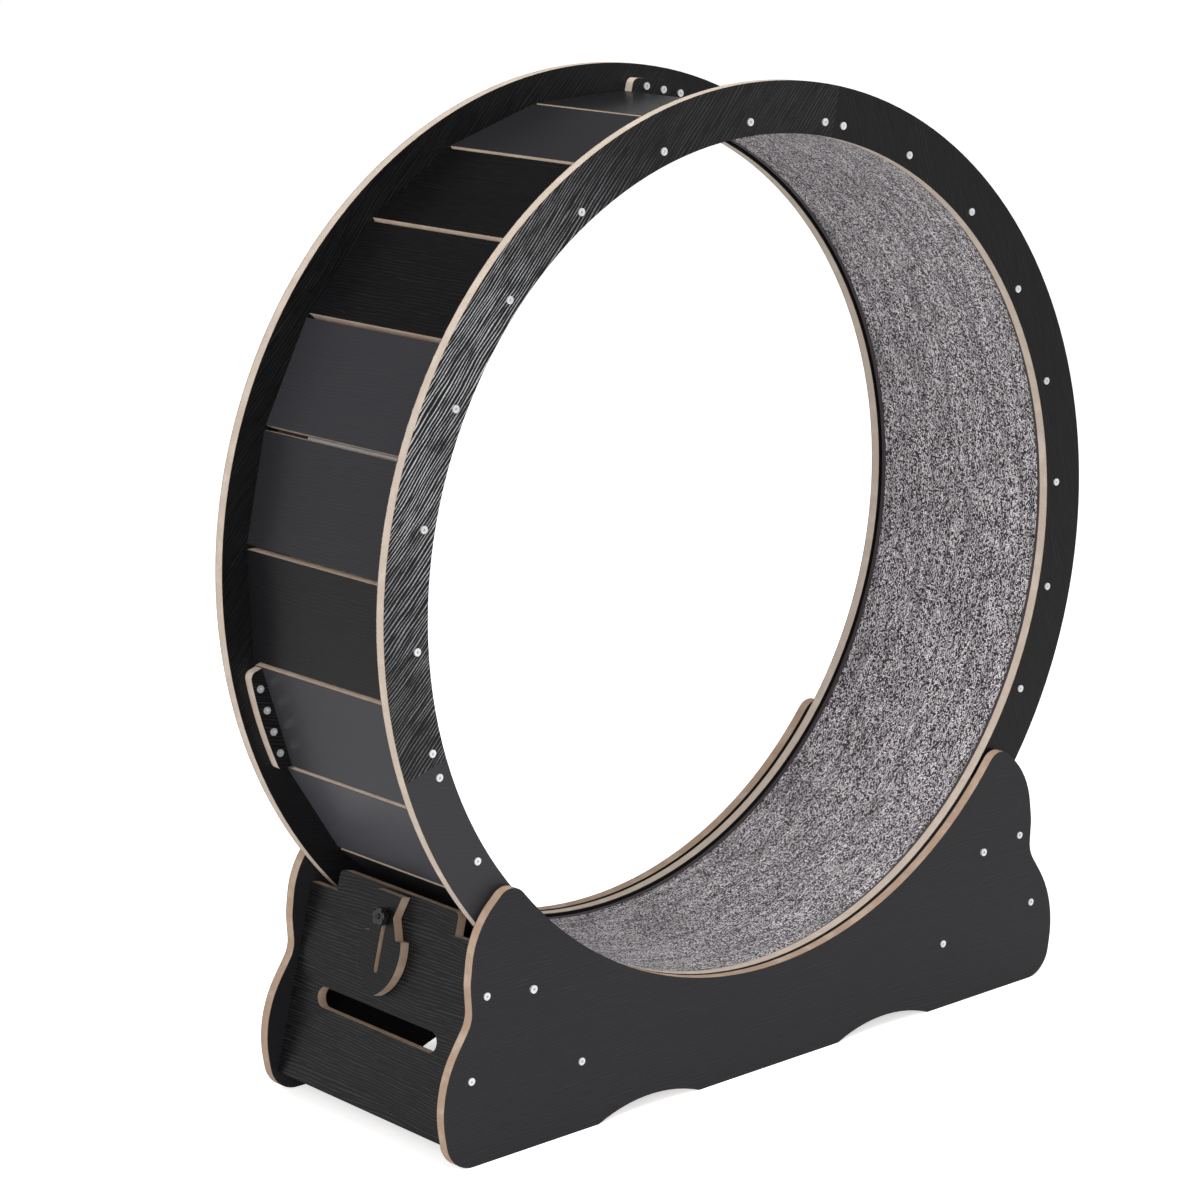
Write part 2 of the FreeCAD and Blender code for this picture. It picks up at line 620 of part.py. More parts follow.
def draw_slot(sketch, length, height, up):
    """A level slot with round ends."""
    flat = f"({length} / 2 - {height} / 2)"
    low = f"({up} - {height} / 2)"
    high = f"({up} + {height} / 2)"
    corners = [(f"(-{flat})", low), (flat, low), (flat, f"({high})"), (f"(-{flat})", high)]
    draw_rounded_ends(sketch, corners, f"({height} / 2)")


def draw_rounded_ends(sketch, corners, radius):
    """A four-cornered slot whose second and fourth sides are half circles, each of two quarter arcs."""
    (x0, y0), (x1, y1), (x2, y2), (x3, y3) = corners
    if value(y1) == value(y0):
        tip_a = (f"({x1} + {radius})", f"(({y1} + {y2}) / 2)")
        tip_b = (f"({x0} - {radius})", f"(({y0} + {y3}) / 2)")
    else:
        tip_a = (f"(({x1} + {x2}) / 2)", f"({y1} + {radius})")
        tip_b = (f"(({x0} + {x3}) / 2)", f"({y0} - {radius})")
    draw_outline(sketch, [corners[0], corners[1], tip_a, corners[2], corners[3], tip_b],
                 {1: (radius, 1), 2: (radius, 1), 4: (radius, 1), 5: (radius, 1)})


def cross_beam(label, end):
    board = document.addObject("Part::Box", label + "_board")
    length = f"(2 * {SIDE_INNER_FACE})"
    bind(board, Length="Sizes.board", Width=length, Height="Sizes.beam_depth")
    placed(board, f"placement(vector(-Sizes.board / 2; -{length} / 2; -Sizes.beam_depth / 2);"
                  " rotation(vector(0; 0; 1); 0))")
    tools = []
    for hand, start in ((-1, f"-{length} / 2 - Sizes.overcut"), (1, f"{length} / 2 - {PILOT_DEPTH}")):
        tool = cylinder(f"{label}_pilot{hand + 1}", SCREW_HOLE, f"{PILOT_DEPTH} + Sizes.overcut")
        placed(tool, f"placement(vector(0; {start}; 0); rotation(vector(1; 0; 0); -90))")
        tools.append(tool)
    piece = cut(label, board, tools)
    placed(piece, f"placement(vector({end} * {BEAM_X}; 0; Sizes.beam_height); rotation(vector(0; 0; 1); 0))")
    return subpart(piece, label)


# The rollers. Their own z = 0 is the middle of the ring's edge.

def roller_place(side, end):
    return at_side(side, f"({end} * {AXLE_X})", RING_MIDDLE, AXLE_HEIGHT)


def roller_tyre(label, side, end):
    """A moulded tyre with a square groove for the ring's edge and a seat for the bearing."""
    body = new_body(label)
    seat = "(Sizes.bearing_radius + Sizes.bearing_seat)"
    lip = "(Sizes.bearing_radius - Sizes.roller_lip)"
    bearing_half = "(Sizes.bearing_width / 2)"
    taper = f"({GROOVE_HALF} + Sizes.flange_lead_in)"
    turn_profile(body, [
        (seat, f"(-{ROLLER_HALF})"), ("Sizes.flange_radius", f"(-{ROLLER_HALF})"),
        ("Sizes.flange_radius", f"(-{taper})"), ("Sizes.tread_radius", f"(-{GROOVE_HALF})"),
        ("Sizes.tread_radius", GROOVE_HALF), ("Sizes.flange_radius", taper),
        ("Sizes.flange_radius", ROLLER_HALF), (lip, ROLLER_HALF),
        (lip, bearing_half), (seat, bearing_half)])
    placed(body, roller_place(side, end))
    return subpart(body, label)


def roller_bearing(label, side, end):
    """The bearing's outer ring with its balls and shields, which turn round the inner ring."""
    clear = "(Sizes.bearing_inner_radius + Sizes.running_gap)"
    start = "-Sizes.bearing_width / 2"
    outside = cylinder(label + "_outside", "Sizes.bearing_radius", "Sizes.bearing_width", z=start)
    inside = bore(label + "_inside", clear, "Sizes.bearing_width", start)
    piece = cut(label, outside, [inside])
    placed(piece, roller_place(side, end))
    return subpart(piece, label)


def roller_axle_parts():
    """The bolt from outside, the inner ring with its sleeve to the side panel, and the nut in the tyre."""
    bolt = headed_screw("axle_bolt_master", "Sizes.axle_bolt_radius", "Sizes.axle_bolt_length",
                        "Sizes.axle_head_radius", "Sizes.axle_head_height")
    to_panel = f"({ROLLER_HALF} + Sizes.roller_end_gap)"
    clear = "(Sizes.axle_bolt_radius + Sizes.screw_fit)"
    half = "(Sizes.bearing_width / 2)"
    inner_end = f"(-{half} - Sizes.nut_gap)"
    sleeve = new_body("axle_sleeve_master")
    turn_profile(sleeve, [
        (clear, inner_end), ("Sizes.bearing_inner_radius", inner_end),
        ("Sizes.bearing_inner_radius", half), ("Sizes.spacer_radius", half),
        ("Sizes.spacer_radius", to_panel), (clear, to_panel)])
    block = document.addObject("Part::Prism", "axle_nut_block")
    block.Polygon = 6
    bind(block, Circumradius="Sizes.axle_nut_flats / sqrt(3)", Height="Sizes.axle_nut_height")
    nut_bottom = f"({inner_end} - Sizes.axle_nut_height)"
    placed(block, f"placement(vector(0; 0; {nut_bottom}); rotation(vector(0; 0; 1); 0))")
    nut_bore = bore("axle_nut_bore", clear, "Sizes.axle_nut_height", nut_bottom)
    nut = cut("axle_nut_master", block, [nut_bore])
    corners = [(side, end) for side in (1, -1) for end in (-1, 1)]
    group("axle_bolts", bolt, [
        at_side(side, f"({end} * {AXLE_X})", SIDE_OUTER_FACE, AXLE_HEIGHT) for side, end in corners])
    group("axle_sleeves", sleeve, [roller_place(side, end) for side, end in corners])
    group("axle_nuts", nut, [roller_place(side, end) for side, end in corners])


# The lock.

def lock_plate():
    """A sliding plate with a flared top, a waist and a body that tapers to a nose, slotted for its bolt."""
    body = new_body("lock_plate")
    sketch = new_sketch(body, "YZ_Plane")
    right = [("Sizes.lock_step_outer", "Sizes.lock_step"), ("Sizes.lock_step_inner", "Sizes.lock_step"),
             ("Sizes.lock_waist_half", "Sizes.lock_waist"), ("Sizes.lock_top_half", "Sizes.lock_top")]
    left = [(f"(-{x})", z) for x, z in reversed(right)]
    draw_outline(sketch, [("0", "Sizes.lock_nose")] + right + left, {
        0: ("Sizes.lock_flank_radius", 1),
        len(right) + len(left): ("Sizes.lock_flank_radius", 1)})
    half = "Sizes.lock_slot_half"
    low = f"(Sizes.lock_slot_bottom + {half})"
    high = "(Sizes.lock_bolt_up + Sizes.lock_slot_half - Sizes.lock_bolt_radius)"
    draw_rounded_ends(sketch, [(half, low), (half, high), (f"(-{half})", high), (f"(-{half})", low)], half)
    pad_board(body, sketch)
    round_corners(body, [Vector(0, 0, value("Sizes.lock_nose"))], "Sizes.lock_nose_radius", Vector(1, 0, 0))
    placed(body, at_end(-1, LOCK_OUTER))
    return subpart(body, "lock_plate")


def lock_bolt():
    """It goes out through the end panel and the lock plate's slot. Its own z points out of the left end."""
    shank = cylinder("lock_bolt_shank", "Sizes.lock_bolt_radius", LOCK_BOLT_LENGTH)
    head = cylinder("lock_bolt_head", "Sizes.lock_head_radius", "Sizes.lock_head_height",
                    z="-Sizes.lock_head_height")
    piece = fuse("lock_bolt", [shank, head])
    placed(piece, at_end(-1, "(-Sizes.board / 2)", "Sizes.lock_bolt_up") + TURN_OUT)
    return subpart(piece, "lock_bolt")


def lock_knob():
    """A lobed knob on the lock bolt, with a collar that clamps the lock plate."""
    collar = cylinder("knob_collar", "Sizes.knob_collar_radius", "Sizes.knob_collar_height + Sizes.overcut")
    head = cylinder("knob_head", "Sizes.knob_radius", "Sizes.knob_height - Sizes.knob_collar_height",
                    z="Sizes.knob_collar_height")
    clear = "(Sizes.lock_bolt_radius + Sizes.running_gap)"
    tools = [bore("knob_bore", clear, "Sizes.knob_height", "0")]
    lobes = int(value("Sizes.knob_lobes"))
    reach = "(Sizes.knob_radius + Sizes.knob_scallop_radius / 2)"
    for number in range(lobes):
        angle = f"({(number + 0.5) * 360 / lobes})"
        tools.append(cylinder(f"knob_scallop{number}", "Sizes.knob_scallop_radius", "Sizes.knob_height",
                              x=f"{reach} * cos{angle}", y=f"{reach} * sin{angle}",
                              z="Sizes.knob_collar_height"))
    rough = cut("knob_rough", fuse("knob_solid", [collar, head]), tools)
    document.recompute()
    top = value("Sizes.knob_height")
    hole = value(clear) * 1.01
    rim = []
    for number, edge in enumerate(rough.Shape.Edges, start=1):
        middle = edge.CenterOfMass
        on_top = all(abs(vertex.Z - top) < 1e-6 for vertex in edge.Vertexes) and abs(middle.z - top) < 1e-6
        reach = max(math.hypot(vertex.X, vertex.Y) for vertex in edge.Vertexes)
        if on_top and reach > hole:
            rim.append((number, value("Sizes.knob_edge"), value("Sizes.knob_edge")))
    piece = document.addObject("Part::Fillet", "lock_knob")
    piece.Base = rough
    piece.Edges = rim
    placed(piece, at_end(-1, f"({LOCK_OUTER} + Sizes.lock_gap)", "Sizes.lock_bolt_up") + TURN_OUT)
    return subpart(piece, "lock_knob")


def build():
    letters = "abcdefgh"
    segments = int(value("Sizes.segment_count"))
    for word, side in (("front", 1), ("rear", -1)):
        for number in range(segments):
            middle = f"Sizes.joint_angle + {number + 0.5} * {SEGMENT_ANGLE}"
            ring_segment(f"ring_{word}_{letters[number]}", side, middle)
            splice_plate(f"splice_{word}_{letters[number]}", side, number)
    for number in range(segments * int(value("Sizes.slats_per_segment"))):
        slat(f"slat_{number + 1:02d}", number)
    carpet()
    ring_screws()
    splice_screws()
    for word, side in (("front", 1), ("rear", -1)):
        side_panel(f"side_panel_{word}", side)
        for hand, end in (("left", -1), ("right", 1)):
            roller_tyre(f"roller_{word}_{hand}", side, end)
            roller_bearing(f"bearing_{word}_{hand}", side, end)
    for hand, end in (("left", -1), ("right", 1)):
        end_panel(f"end_panel_{hand}", end)
        cross_beam(f"cross_beam_{hand}", end)
    cradle_screws()
    roller_axle_parts()
    lock_plate()
    lock_bolt()
    lock_knob()
    document.recompute()


def check():
    """Stops with a message if any object failed or any sub-part has no valid solid."""
    for item in document.Objects:
        if "Invalid" in item.State or "Error" in item.State:
            raise RuntimeError(f"{item.Label} failed: {item.State}")
    for item in SUBPARTS:
        shape = item.Shape
        if shape.isNull() or not shape.isValid() or not shape.Solids:
            raise RuntimeError(f"{item.Label} has no valid solid")


def write():
    os.makedirs("parts", exist_ok=True)
    for item in SUBPARTS:
        item.Shape.exportStep(f"parts/{item.Label}.step")


build()
check()
write()
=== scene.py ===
"""Dresses the cat exercise wheel: boards, speckled carpet, bright screws, rollers, lock and studio."""
import json
import math
from collections import namedtuple

import bmesh
import bpy
from bpy.props import FloatProperty, FloatVectorProperty, IntProperty, PointerProperty
from mathutils import Matrix, Vector


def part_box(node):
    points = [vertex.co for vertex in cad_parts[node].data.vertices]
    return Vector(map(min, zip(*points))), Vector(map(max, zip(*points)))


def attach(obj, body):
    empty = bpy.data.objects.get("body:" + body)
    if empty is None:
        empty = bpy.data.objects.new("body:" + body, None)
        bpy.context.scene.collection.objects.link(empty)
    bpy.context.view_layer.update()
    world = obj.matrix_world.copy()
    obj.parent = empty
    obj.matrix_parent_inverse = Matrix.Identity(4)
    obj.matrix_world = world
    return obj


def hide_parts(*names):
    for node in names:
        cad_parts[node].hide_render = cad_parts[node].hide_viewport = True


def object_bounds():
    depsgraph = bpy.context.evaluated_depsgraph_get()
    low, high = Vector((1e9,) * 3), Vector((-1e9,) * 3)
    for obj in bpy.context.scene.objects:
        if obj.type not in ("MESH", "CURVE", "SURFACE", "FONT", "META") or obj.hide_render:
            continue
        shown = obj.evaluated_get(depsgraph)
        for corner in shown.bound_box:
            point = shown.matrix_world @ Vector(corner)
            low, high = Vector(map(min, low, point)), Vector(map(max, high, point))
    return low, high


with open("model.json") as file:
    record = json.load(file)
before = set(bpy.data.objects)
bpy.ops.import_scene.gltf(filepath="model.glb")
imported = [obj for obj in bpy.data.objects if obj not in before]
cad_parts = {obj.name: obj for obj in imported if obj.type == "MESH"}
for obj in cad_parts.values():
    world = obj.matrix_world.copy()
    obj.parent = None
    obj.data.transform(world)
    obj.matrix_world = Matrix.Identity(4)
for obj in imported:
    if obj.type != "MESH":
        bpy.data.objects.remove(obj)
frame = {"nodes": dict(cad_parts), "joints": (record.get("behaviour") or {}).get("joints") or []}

bl_info = {
    "name": "Cat exercise wheel",
    "version": (1, 0, 0),
    "blender": (4, 5, 0),
    "location": "3D View > Sidebar > Wheel",
    "description": "Boards, carpet, metalwork and studio for a cat exercise wheel",
    "category": "Object",
}

CAD_LOW, CAD_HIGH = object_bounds()
NODES = frame["nodes"]
JOINTS = {joint["name"]: joint for joint in frame["joints"]}

HUB = Vector(JOINTS["wheel_spin"]["pos_m"])
OUTWARD = Vector(JOINTS["knob_turn"]["axis"])
WIDTHWAYS = Vector((0, 1, 0))
LENGTHWAYS = Vector((1, 0, 0))
UPWARDS = Vector((0, 0, 1))

MM = 0.001
FLOAT, COLOUR, VECTOR = "NodeSocketFloat", "NodeSocketColor", "NodeSocketVector"

HALF_BOARD = 6 * MM
SLAT_COUNT = 24
SLAT_ANGLE = math.tau / SLAT_COUNT
SLATS = [f"slat_{number:02d}" for number in range(1, SLAT_COUNT + 1)]
CORNERS = ("front_left", "front_right", "rear_left", "rear_right")

CARPET_LOW, CARPET_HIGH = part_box("carpet")
CARPET_HALF_WIDTH = CARPET_HIGH.y
CARPET_BACK_RADIUS = (CARPET_HIGH.z - CARPET_LOW.z) / 2


# ---------------------------------------------------------------- settings

def colour_property(name, default, description):
    return FloatVectorProperty(
        name=name, description=description, default=default, size=3, min=0, max=1, subtype="COLOR"
    )


def length_property(name, default, description):
    return FloatProperty(
        name=name, description=description, default=default, min=0, unit="LENGTH", precision=5
    )


def share_property(name, default, description):
    return FloatProperty(
        name=name, description=description, default=default, min=0, max=4, subtype="FACTOR"
    )


class BoardFinish(bpy.types.PropertyGroup):
    face: colour_property("Laminate", (0.0056, 0.0056, 0.0064), "Black of the laminate")
    # The pale Grain colour is partly print and partly painted highlight on the embossed grain.
    grain: colour_property("Grain", (0.58, 0.585, 0.60), "Light lines of the printed grain")
    core: colour_property("Core", (0.575, 0.485, 0.405), "Tan of the wheel's bare board edges")
    cradle_core: colour_property("Cradle core", (0.43, 0.30, 0.215), "Tan of the cradle's bare board edges")
    core_dark: colour_property("Dark fibres", (0.32, 0.235, 0.17), "Darker fibres of the bare edges")
    scorch: colour_property("Scorch", (0.075, 0.028, 0.012), "Dark line of the cut under the laminate")
    skin: length_property("Laminate thickness", 0.28 * MM, "How thick the laminate is")
    line_gap: length_property("Grain line spacing", 3.5 * MM, "From one grain line to the next")
    line_length: length_property("Grain line length", 80 * MM, "How far a grain line runs")
    wander: length_property("Grain wander", 24 * MM, "How far the lines swing across the board")
    gloss: share_property("Roughness", 0.36, "Roughness of the laminate")
    shine: share_property("Shine", 0.21, "Specular level of the laminate")
    slat_shine: share_property("Slat shine", 0.18, "Specular level of the slats")


class CarpetFinish(bpy.types.PropertyGroup):
    dark: colour_property("Dark yarn", (0.014, 0.012, 0.015), "Colour of the dark loops")
    light: colour_property("Light yarn", (0.97, 0.92, 0.945), "Colour of the light loops")
    tint: colour_property("Tinted yarn", (0.46, 0.36, 0.46), "Colour of the few mauve loops")
    hem: colour_property("Hem", (0.062, 0.043, 0.05), "Colour of the binding tape")
    backing: colour_property("Backing", (0.93, 0.915, 0.915), "Colour of the woven backing")
    loop: length_property("Loop size", 1.6 * MM, "Width of one loop of the pile")
    height: length_property("Pile height", 3.1 * MM, "From the backing to the top of the loops")
    unevenness: length_property("Unevenness", 0.7 * MM, "How much the pile rises and falls")
    hem_width: length_property("Hem width", 5.4 * MM, "Width of the binding tape on the pile side")
    hem_turn: length_property("Hem turn-under", 50 * MM, "Width of the binding tape under the carpet")
    tape: length_property("Tape thickness", 0.4 * MM, "Thickness of the binding tape")
    around: IntProperty(name="Steps around", description="Faces around the drum", default=840, min=48)
    across: IntProperty(name="Steps across", description="Faces across the drum", default=74, min=4)


class MetalFinish(bpy.types.PropertyGroup):
    zinc: colour_property("Zinc", (0.95, 0.95, 0.96), "Bright zinc of the screws and bolts")
    steel: colour_property("Ground steel", (0.62, 0.62, 0.63), "Bearings and sleeves")
    black: colour_property("Blackened steel", (0.03, 0.03, 0.033), "The lock bolt")
    tyre: colour_property("Tyre", (0.035, 0.035, 0.036), "Moulded plastic of the rollers")
    knob: colour_property("Knob", (0.012, 0.012, 0.013), "Glossy plastic of the lock knob")


class StudioSettings(bpy.types.PropertyGroup):
    camera_place: FloatVectorProperty(
        name="Camera",
        description="Where the camera stands",
        default=(-2.53928, -2.79915, 1.42302),
        subtype="XYZ",
    )
    camera_turn: FloatVectorProperty(
        name="Heading, pitch and roll",
        description="Heading from +Y towards +X, tilt above the horizon, and roll",
        default=(math.radians(41.9836), math.radians(-13.9393), math.radians(-0.2204)),
        subtype="EULER",
    )
    lens: FloatProperty(
        name="Lens", description="Focal length for a 36 mm frame", default=107.92, min=1, unit="CAMERA"
    )
    shift: FloatVectorProperty(
        name="Shift", description="Shift of the lens", default=(-0.048742, 0.005370), size=2
    )
    floor: colour_property("Floor", (0.93, 0.93, 0.93), "Colour of the studio floor")
    surroundings: share_property("Surroundings", 0.5, "Light from the white surroundings")
    floor_glow: share_property("Floor glow", 0.62, "White that the camera sees on top of the lit floor")
    ceiling: share_property("Ceiling", 0.14, "How bright a shiny surface sees the ceiling")
    overhead: FloatProperty(
        name="Overhead", description="Power of the overhead lamp", default=54, min=0, unit="POWER"
    )
    side: FloatProperty(
        name="Side", description="Power of the side lamp", default=75, min=0, unit="POWER"
    )


# ---------------------------------------------------------------- node helpers

def settings():
    return bpy.context.scene.exercise_wheel


def colour4(colour, share=1.0):
    """A colour times a share, with the fourth number that a colour socket wants."""
    return tuple(part * share for part in colour) + (1.0,)


def feed(tree, source, socket):
    """Links a socket to another, or else gives it a plain value."""
    if isinstance(source, bpy.types.NodeSocket):
        tree.links.new(source, socket)
    elif source is not None:
        socket.default_value = source


def maths(tree, operation, first, second=None, third=None):
    node = tree.nodes.new("ShaderNodeMath")
    node.operation = operation
    feed(tree, first, node.inputs[0])
    feed(tree, second, node.inputs[1])
    feed(tree, third, node.inputs[2])
    return node.outputs[0]


def vector_maths(tree, operation, first, second=None):
    node = tree.nodes.new("ShaderNodeVectorMath")
    node.operation = operation
    feed(tree, first, node.inputs[0])
    feed(tree, second, node.inputs[1])
    return node.outputs[0]


def vector_length(tree, vector):
    node = tree.nodes.new("ShaderNodeVectorMath")
    node.operation = "LENGTH"
    feed(tree, vector, node.inputs[0])
    return node.outputs["Value"]


def separate(tree, vector):
    node = tree.nodes.new("ShaderNodeSeparateXYZ")
    feed(tree, vector, node.inputs[0])
    return node.outputs[0], node.outputs[1], node.outputs[2]


def combine(tree, x=0.0, y=0.0, z=0.0):
    node = tree.nodes.new("ShaderNodeCombineXYZ")
    feed(tree, x, node.inputs[0])
    feed(tree, y, node.inputs[1])
    feed(tree, z, node.inputs[2])
    return node.outputs[0]


def step(tree, value, start, end, low=0.0, high=1.0):
    """A smooth step: low before start, high after end."""
    node = tree.nodes.new("ShaderNodeMapRange")
    node.interpolation_type = "SMOOTHSTEP"
    feed(tree, value, node.inputs["Value"])
    feed(tree, start, node.inputs["From Min"])
    feed(tree, end, node.inputs["From Max"])
    feed(tree, low, node.inputs["To Min"])
    feed(tree, high, node.inputs["To Max"])
    return node.outputs["Result"]


def blend_colours(tree, share, first, second, mode="MIX"):
    node = tree.nodes.new("ShaderNodeMix")
    node.data_type = "RGBA"
    node.blend_type = mode
    feed(tree, share, node.inputs[0])
    feed(tree, first, node.inputs[6])
    feed(tree, second, node.inputs[7])
    return node.outputs[2]


def shaded(tree, colour, shade):
    """A colour times a grey that changes over the surface."""
    return blend_colours(tree, 1.0, colour, combine(tree, shade, shade, shade), "MULTIPLY")


def noise(tree, vector, scale=1.0, detail=2.0, roughness=0.5):
    node = tree.nodes.new("ShaderNodeTexNoise")
    feed(tree, vector, node.inputs["Vector"])
    feed(tree, scale, node.inputs["Scale"])
    feed(tree, detail, node.inputs["Detail"])
    feed(tree, roughness, node.inputs["Roughness"])
    return node.outputs[0]


def scaled_noise(tree, place, scales, detail=1.0):
    """Noise with a scale of its own, per metre, along each direction."""
    return noise(tree, vector_maths(tree, "MULTIPLY", place, scales), detail=detail)


def swung(tree, share, reach, middle=0.0):
    """A value that noise swings about its middle, by half its reach each way."""
    return maths(tree, "MULTIPLY_ADD", maths(tree, "SUBTRACT", share, 0.5), reach, middle)


def cells(tree, vector, scale, randomness):
    """Flat Voronoi cells: the distance to a cell's middle, and a colour of its own for each cell."""
    node = tree.nodes.new("ShaderNodeTexVoronoi")
    node.voronoi_dimensions = "2D"
    feed(tree, randomness, node.inputs["Randomness"])
    feed(tree, vector, node.inputs["Vector"])
    feed(tree, scale, node.inputs["Scale"])
    return node.outputs["Distance"], node.outputs["Color"]


def new_group(name, inputs, outputs):
    """A shader node group with named sockets: returns the tree, its inputs and its outputs."""
    tree = bpy.data.node_groups.new(name, "ShaderNodeTree")
    for label, kind, default in inputs:
        socket = tree.interface.new_socket(name=label, in_out="INPUT", socket_type=kind)
        if default is not None:
            socket.default_value = default
    for label, kind in outputs:
        tree.interface.new_socket(name=label, in_out="OUTPUT", socket_type=kind)
    entry = tree.nodes.new("NodeGroupInput")
    result = tree.nodes.new("NodeGroupOutput")
    return tree, entry.outputs, result.inputs


def use_group(tree, group, **values):
    """Places a group in a material and feeds its sockets, named with _ for each space."""
    node = tree.nodes.new("ShaderNodeGroup")
    node.node_tree = group
    for label, value in values.items():
        feed(tree, value, node.inputs[label.replace("_", " ")])
    return node.outputs


def new_material(name, viewport_colour):
    """A material with one Principled shader: returns the material, its tree and the shader."""
    material = bpy.data.materials.new(name)
    material.use_nodes = True
    material.diffuse_color = colour4(viewport_colour)
    tree = material.node_tree
    return material, tree, tree.nodes["Principled BSDF"]


def object_place(tree):
    return tree.nodes.new("ShaderNodeTexCoord").outputs["Object"]


def bump(tree, height, shader):
    """Feeds a height in metres to the shader's normal."""
    node = tree.nodes.new("ShaderNodeBump")
    node.inputs["Strength"].default_value = 1.0
    node.inputs["Distance"].default_value = 1.0
    feed(tree, height, node.inputs["Height"])
    tree.links.new(node.outputs[0], shader.inputs["Normal"])


def paint(node, material):
    """Gives every material slot of a CAD node the material."""
    for material_slot in NODES[node].material_slots:
        material_slot.material = material


# ---------------------------------------------------------------- boards

GRAIN_HEADINGS = {"a": 47.2, "b": 167.2, "c": 287.2}  # of a ring's thirds, from +X towards +Z, in degrees
SHEET_STEP = Vector((0.37, 0.21, 0.0))  # from one board's piece of the printed sheet to the next board's
SLAT_SHEET_STEP = (0.71, 0.43)  # the same from one slat to the next, along the slat and across it
# Painted light and shade on the slats: two waves give each slat its own level, standing in for the floor
# reflected in it.
SLAT_WAVES = ((0.30, 4.6), (1.76, 0.5))  # turn from slat to slat, and start, of the waves that shade slats
BLACKEST_SLAT = 0.3
SLAT_PAINTED_LIGHT = 14.0  # painted light: how much paler than the blackest slat the most brightly painted slat can be

LINE_RELIEF = 0.022 * MM
PRESS_RATE = 6.0  # the grain lines are pressed in fully from a sixth of full strength
FLECK_LENGTH = 3.2 * MM
FLECK_WIDTH = 0.9 * MM
FLECK_RELIEF = 0.005 * MM
PALE_FIBRE = (0.86, 0.77, 0.68, 1.0)
FIBRE_RELIEF = 0.10 * MM
CUT_BLUR = 0.06 * MM
BURN_SPREAD = 0.4 * MM
BURN_BLUR = 0.25 * MM

# The laminate of a board: strength of its printed grain and painted highlights, how pale its face, its bare
# core, its shine.
Laminate = namedtuple("Laminate", "strength shade core shine")

# A grain's strength along its board: low before the start, full between two places, low after the end.
GrainFade = namedtuple("GrainFade", "start full_from full_to end before after")


def stretched_noise(tree, place, along, across):
    """Noise whose patches are about this long and this wide, in metres."""
    return scaled_noise(tree, place, (1 / along, 1 / across, 0.0))


def grain_ridges(tree, place, finish):
    """Where the grain lines are: waves across the grain that drift, and break off here and there."""
    uneven = stretched_noise(tree, place, finish.line_length, finish.line_gap * 3.0)
    turns = maths(tree, "MULTIPLY", separate(tree, place)[1], math.tau / finish.line_gap)
    wave = maths(tree, "SINE", maths(tree, "MULTIPLY_ADD", uneven, 9.0, turns))
    breaks = stretched_noise(tree, place, finish.line_length * 0.35, finish.line_gap * 1.1)
    return step(tree, swung(tree, breaks, 2.0, wave), start=0.36, end=0.92)


def grain_group():
    """Printed wood grain of the laminate, its pale lines painted as highlights, for a place given along the
    grain and across it.
    """
    finish = settings().board
    tree, given, result = new_group(
        "Printed grain with painted highlights",
        [("Place", VECTOR, None), ("Strength", FLOAT, 1.0), ("Face", COLOUR, None), ("Line", COLOUR, None)],
        [("Color", COLOUR), ("Roughness", FLOAT), ("Height", FLOAT)],
    )
    place = given["Place"]
    swing = scaled_noise(tree, place, (4.2, 9.0, 0.0))
    ripple = scaled_noise(tree, place, (24.0, 30.0, 0.0))
    shift = swung(tree, ripple, finish.wander * 0.10, swung(tree, swing, finish.wander))
    warped = vector_maths(tree, "ADD", place, combine(tree, 0.0, shift, 0.0))
    ridge = grain_ridges(tree, warped, finish)
    bands = stretched_noise(tree, warped, finish.line_length * 1.5, finish.line_gap * 5.0)
    flecks = stretched_noise(tree, warped, FLECK_LENGTH, FLECK_WIDTH)
    patch = step(tree, bands, start=0.30, end=0.60, low=0.65, high=1.0)
    speckle = step(tree, flecks, start=0.30, end=0.60, low=0.50, high=1.0)
    amount = maths(tree, "MULTIPLY", maths(tree, "MULTIPLY", ridge, patch), given["Strength"])
    amount = maths(tree, "MINIMUM", maths(tree, "MULTIPLY", amount, speckle), 1.0)
    # Painted highlight: where the grain lines are, the black face takes the pale Line colour.
    feed(tree, blend_colours(tree, amount, given["Face"], given["Line"]), result["Color"])
    smear = scaled_noise(tree, place, (9.0, 9.0, 9.0), detail=3.0)
    roughness = maths(tree, "MULTIPLY_ADD", amount, 0.16, finish.gloss)
    feed(tree, swung(tree, smear, 0.08, roughness), result["Roughness"])
    pressed = maths(tree, "MINIMUM", maths(tree, "MULTIPLY", given["Strength"], PRESS_RATE), 1.0)
    relief = maths(tree, "MULTIPLY", maths(tree, "MULTIPLY", ridge, pressed), LINE_RELIEF)
    feed(tree, maths(tree, "MULTIPLY_ADD", flecks, FLECK_RELIEF, relief), result["Height"])
    return tree


def core_group():
    """Bare fibreboard edge: fine fibres, softer in the middle of the board than near its faces."""
    tree, given, result = new_group(
        "Fibreboard core",
        [("Place", VECTOR, None), ("Depth", FLOAT, 0.0), ("Core", COLOUR, None), ("Dark", COLOUR, None)],
        [("Color", COLOUR), ("Height", FLOAT)],
    )
    place = given["Place"]
    fibres = noise(tree, place, scale=1300.0, detail=3.0, roughness=0.7)
    mottle = noise(tree, place, scale=42.0, detail=3.0, roughness=0.6)
    dark_share = step(tree, fibres, start=0.28, end=0.56, low=0.55, high=0.0)
    colour = blend_colours(tree, dark_share, given["Core"], given["Dark"])
    pale = blend_colours(tree, 0.35, given["Core"], PALE_FIBRE)
    pale_share = step(tree, mottle, start=0.42, end=0.72, low=0.0, high=0.6)
    colour = blend_colours(tree, pale_share, colour, pale)
    dense_share = step(tree, given["Depth"], start=0.60, end=0.97, low=0.0, high=0.22)
    feed(tree, blend_colours(tree, dense_share, colour, given["Dark"]), result["Color"])
    feed(tree, maths(tree, "MULTIPLY", fibres, FIBRE_RELIEF), result["Height"])
    return tree


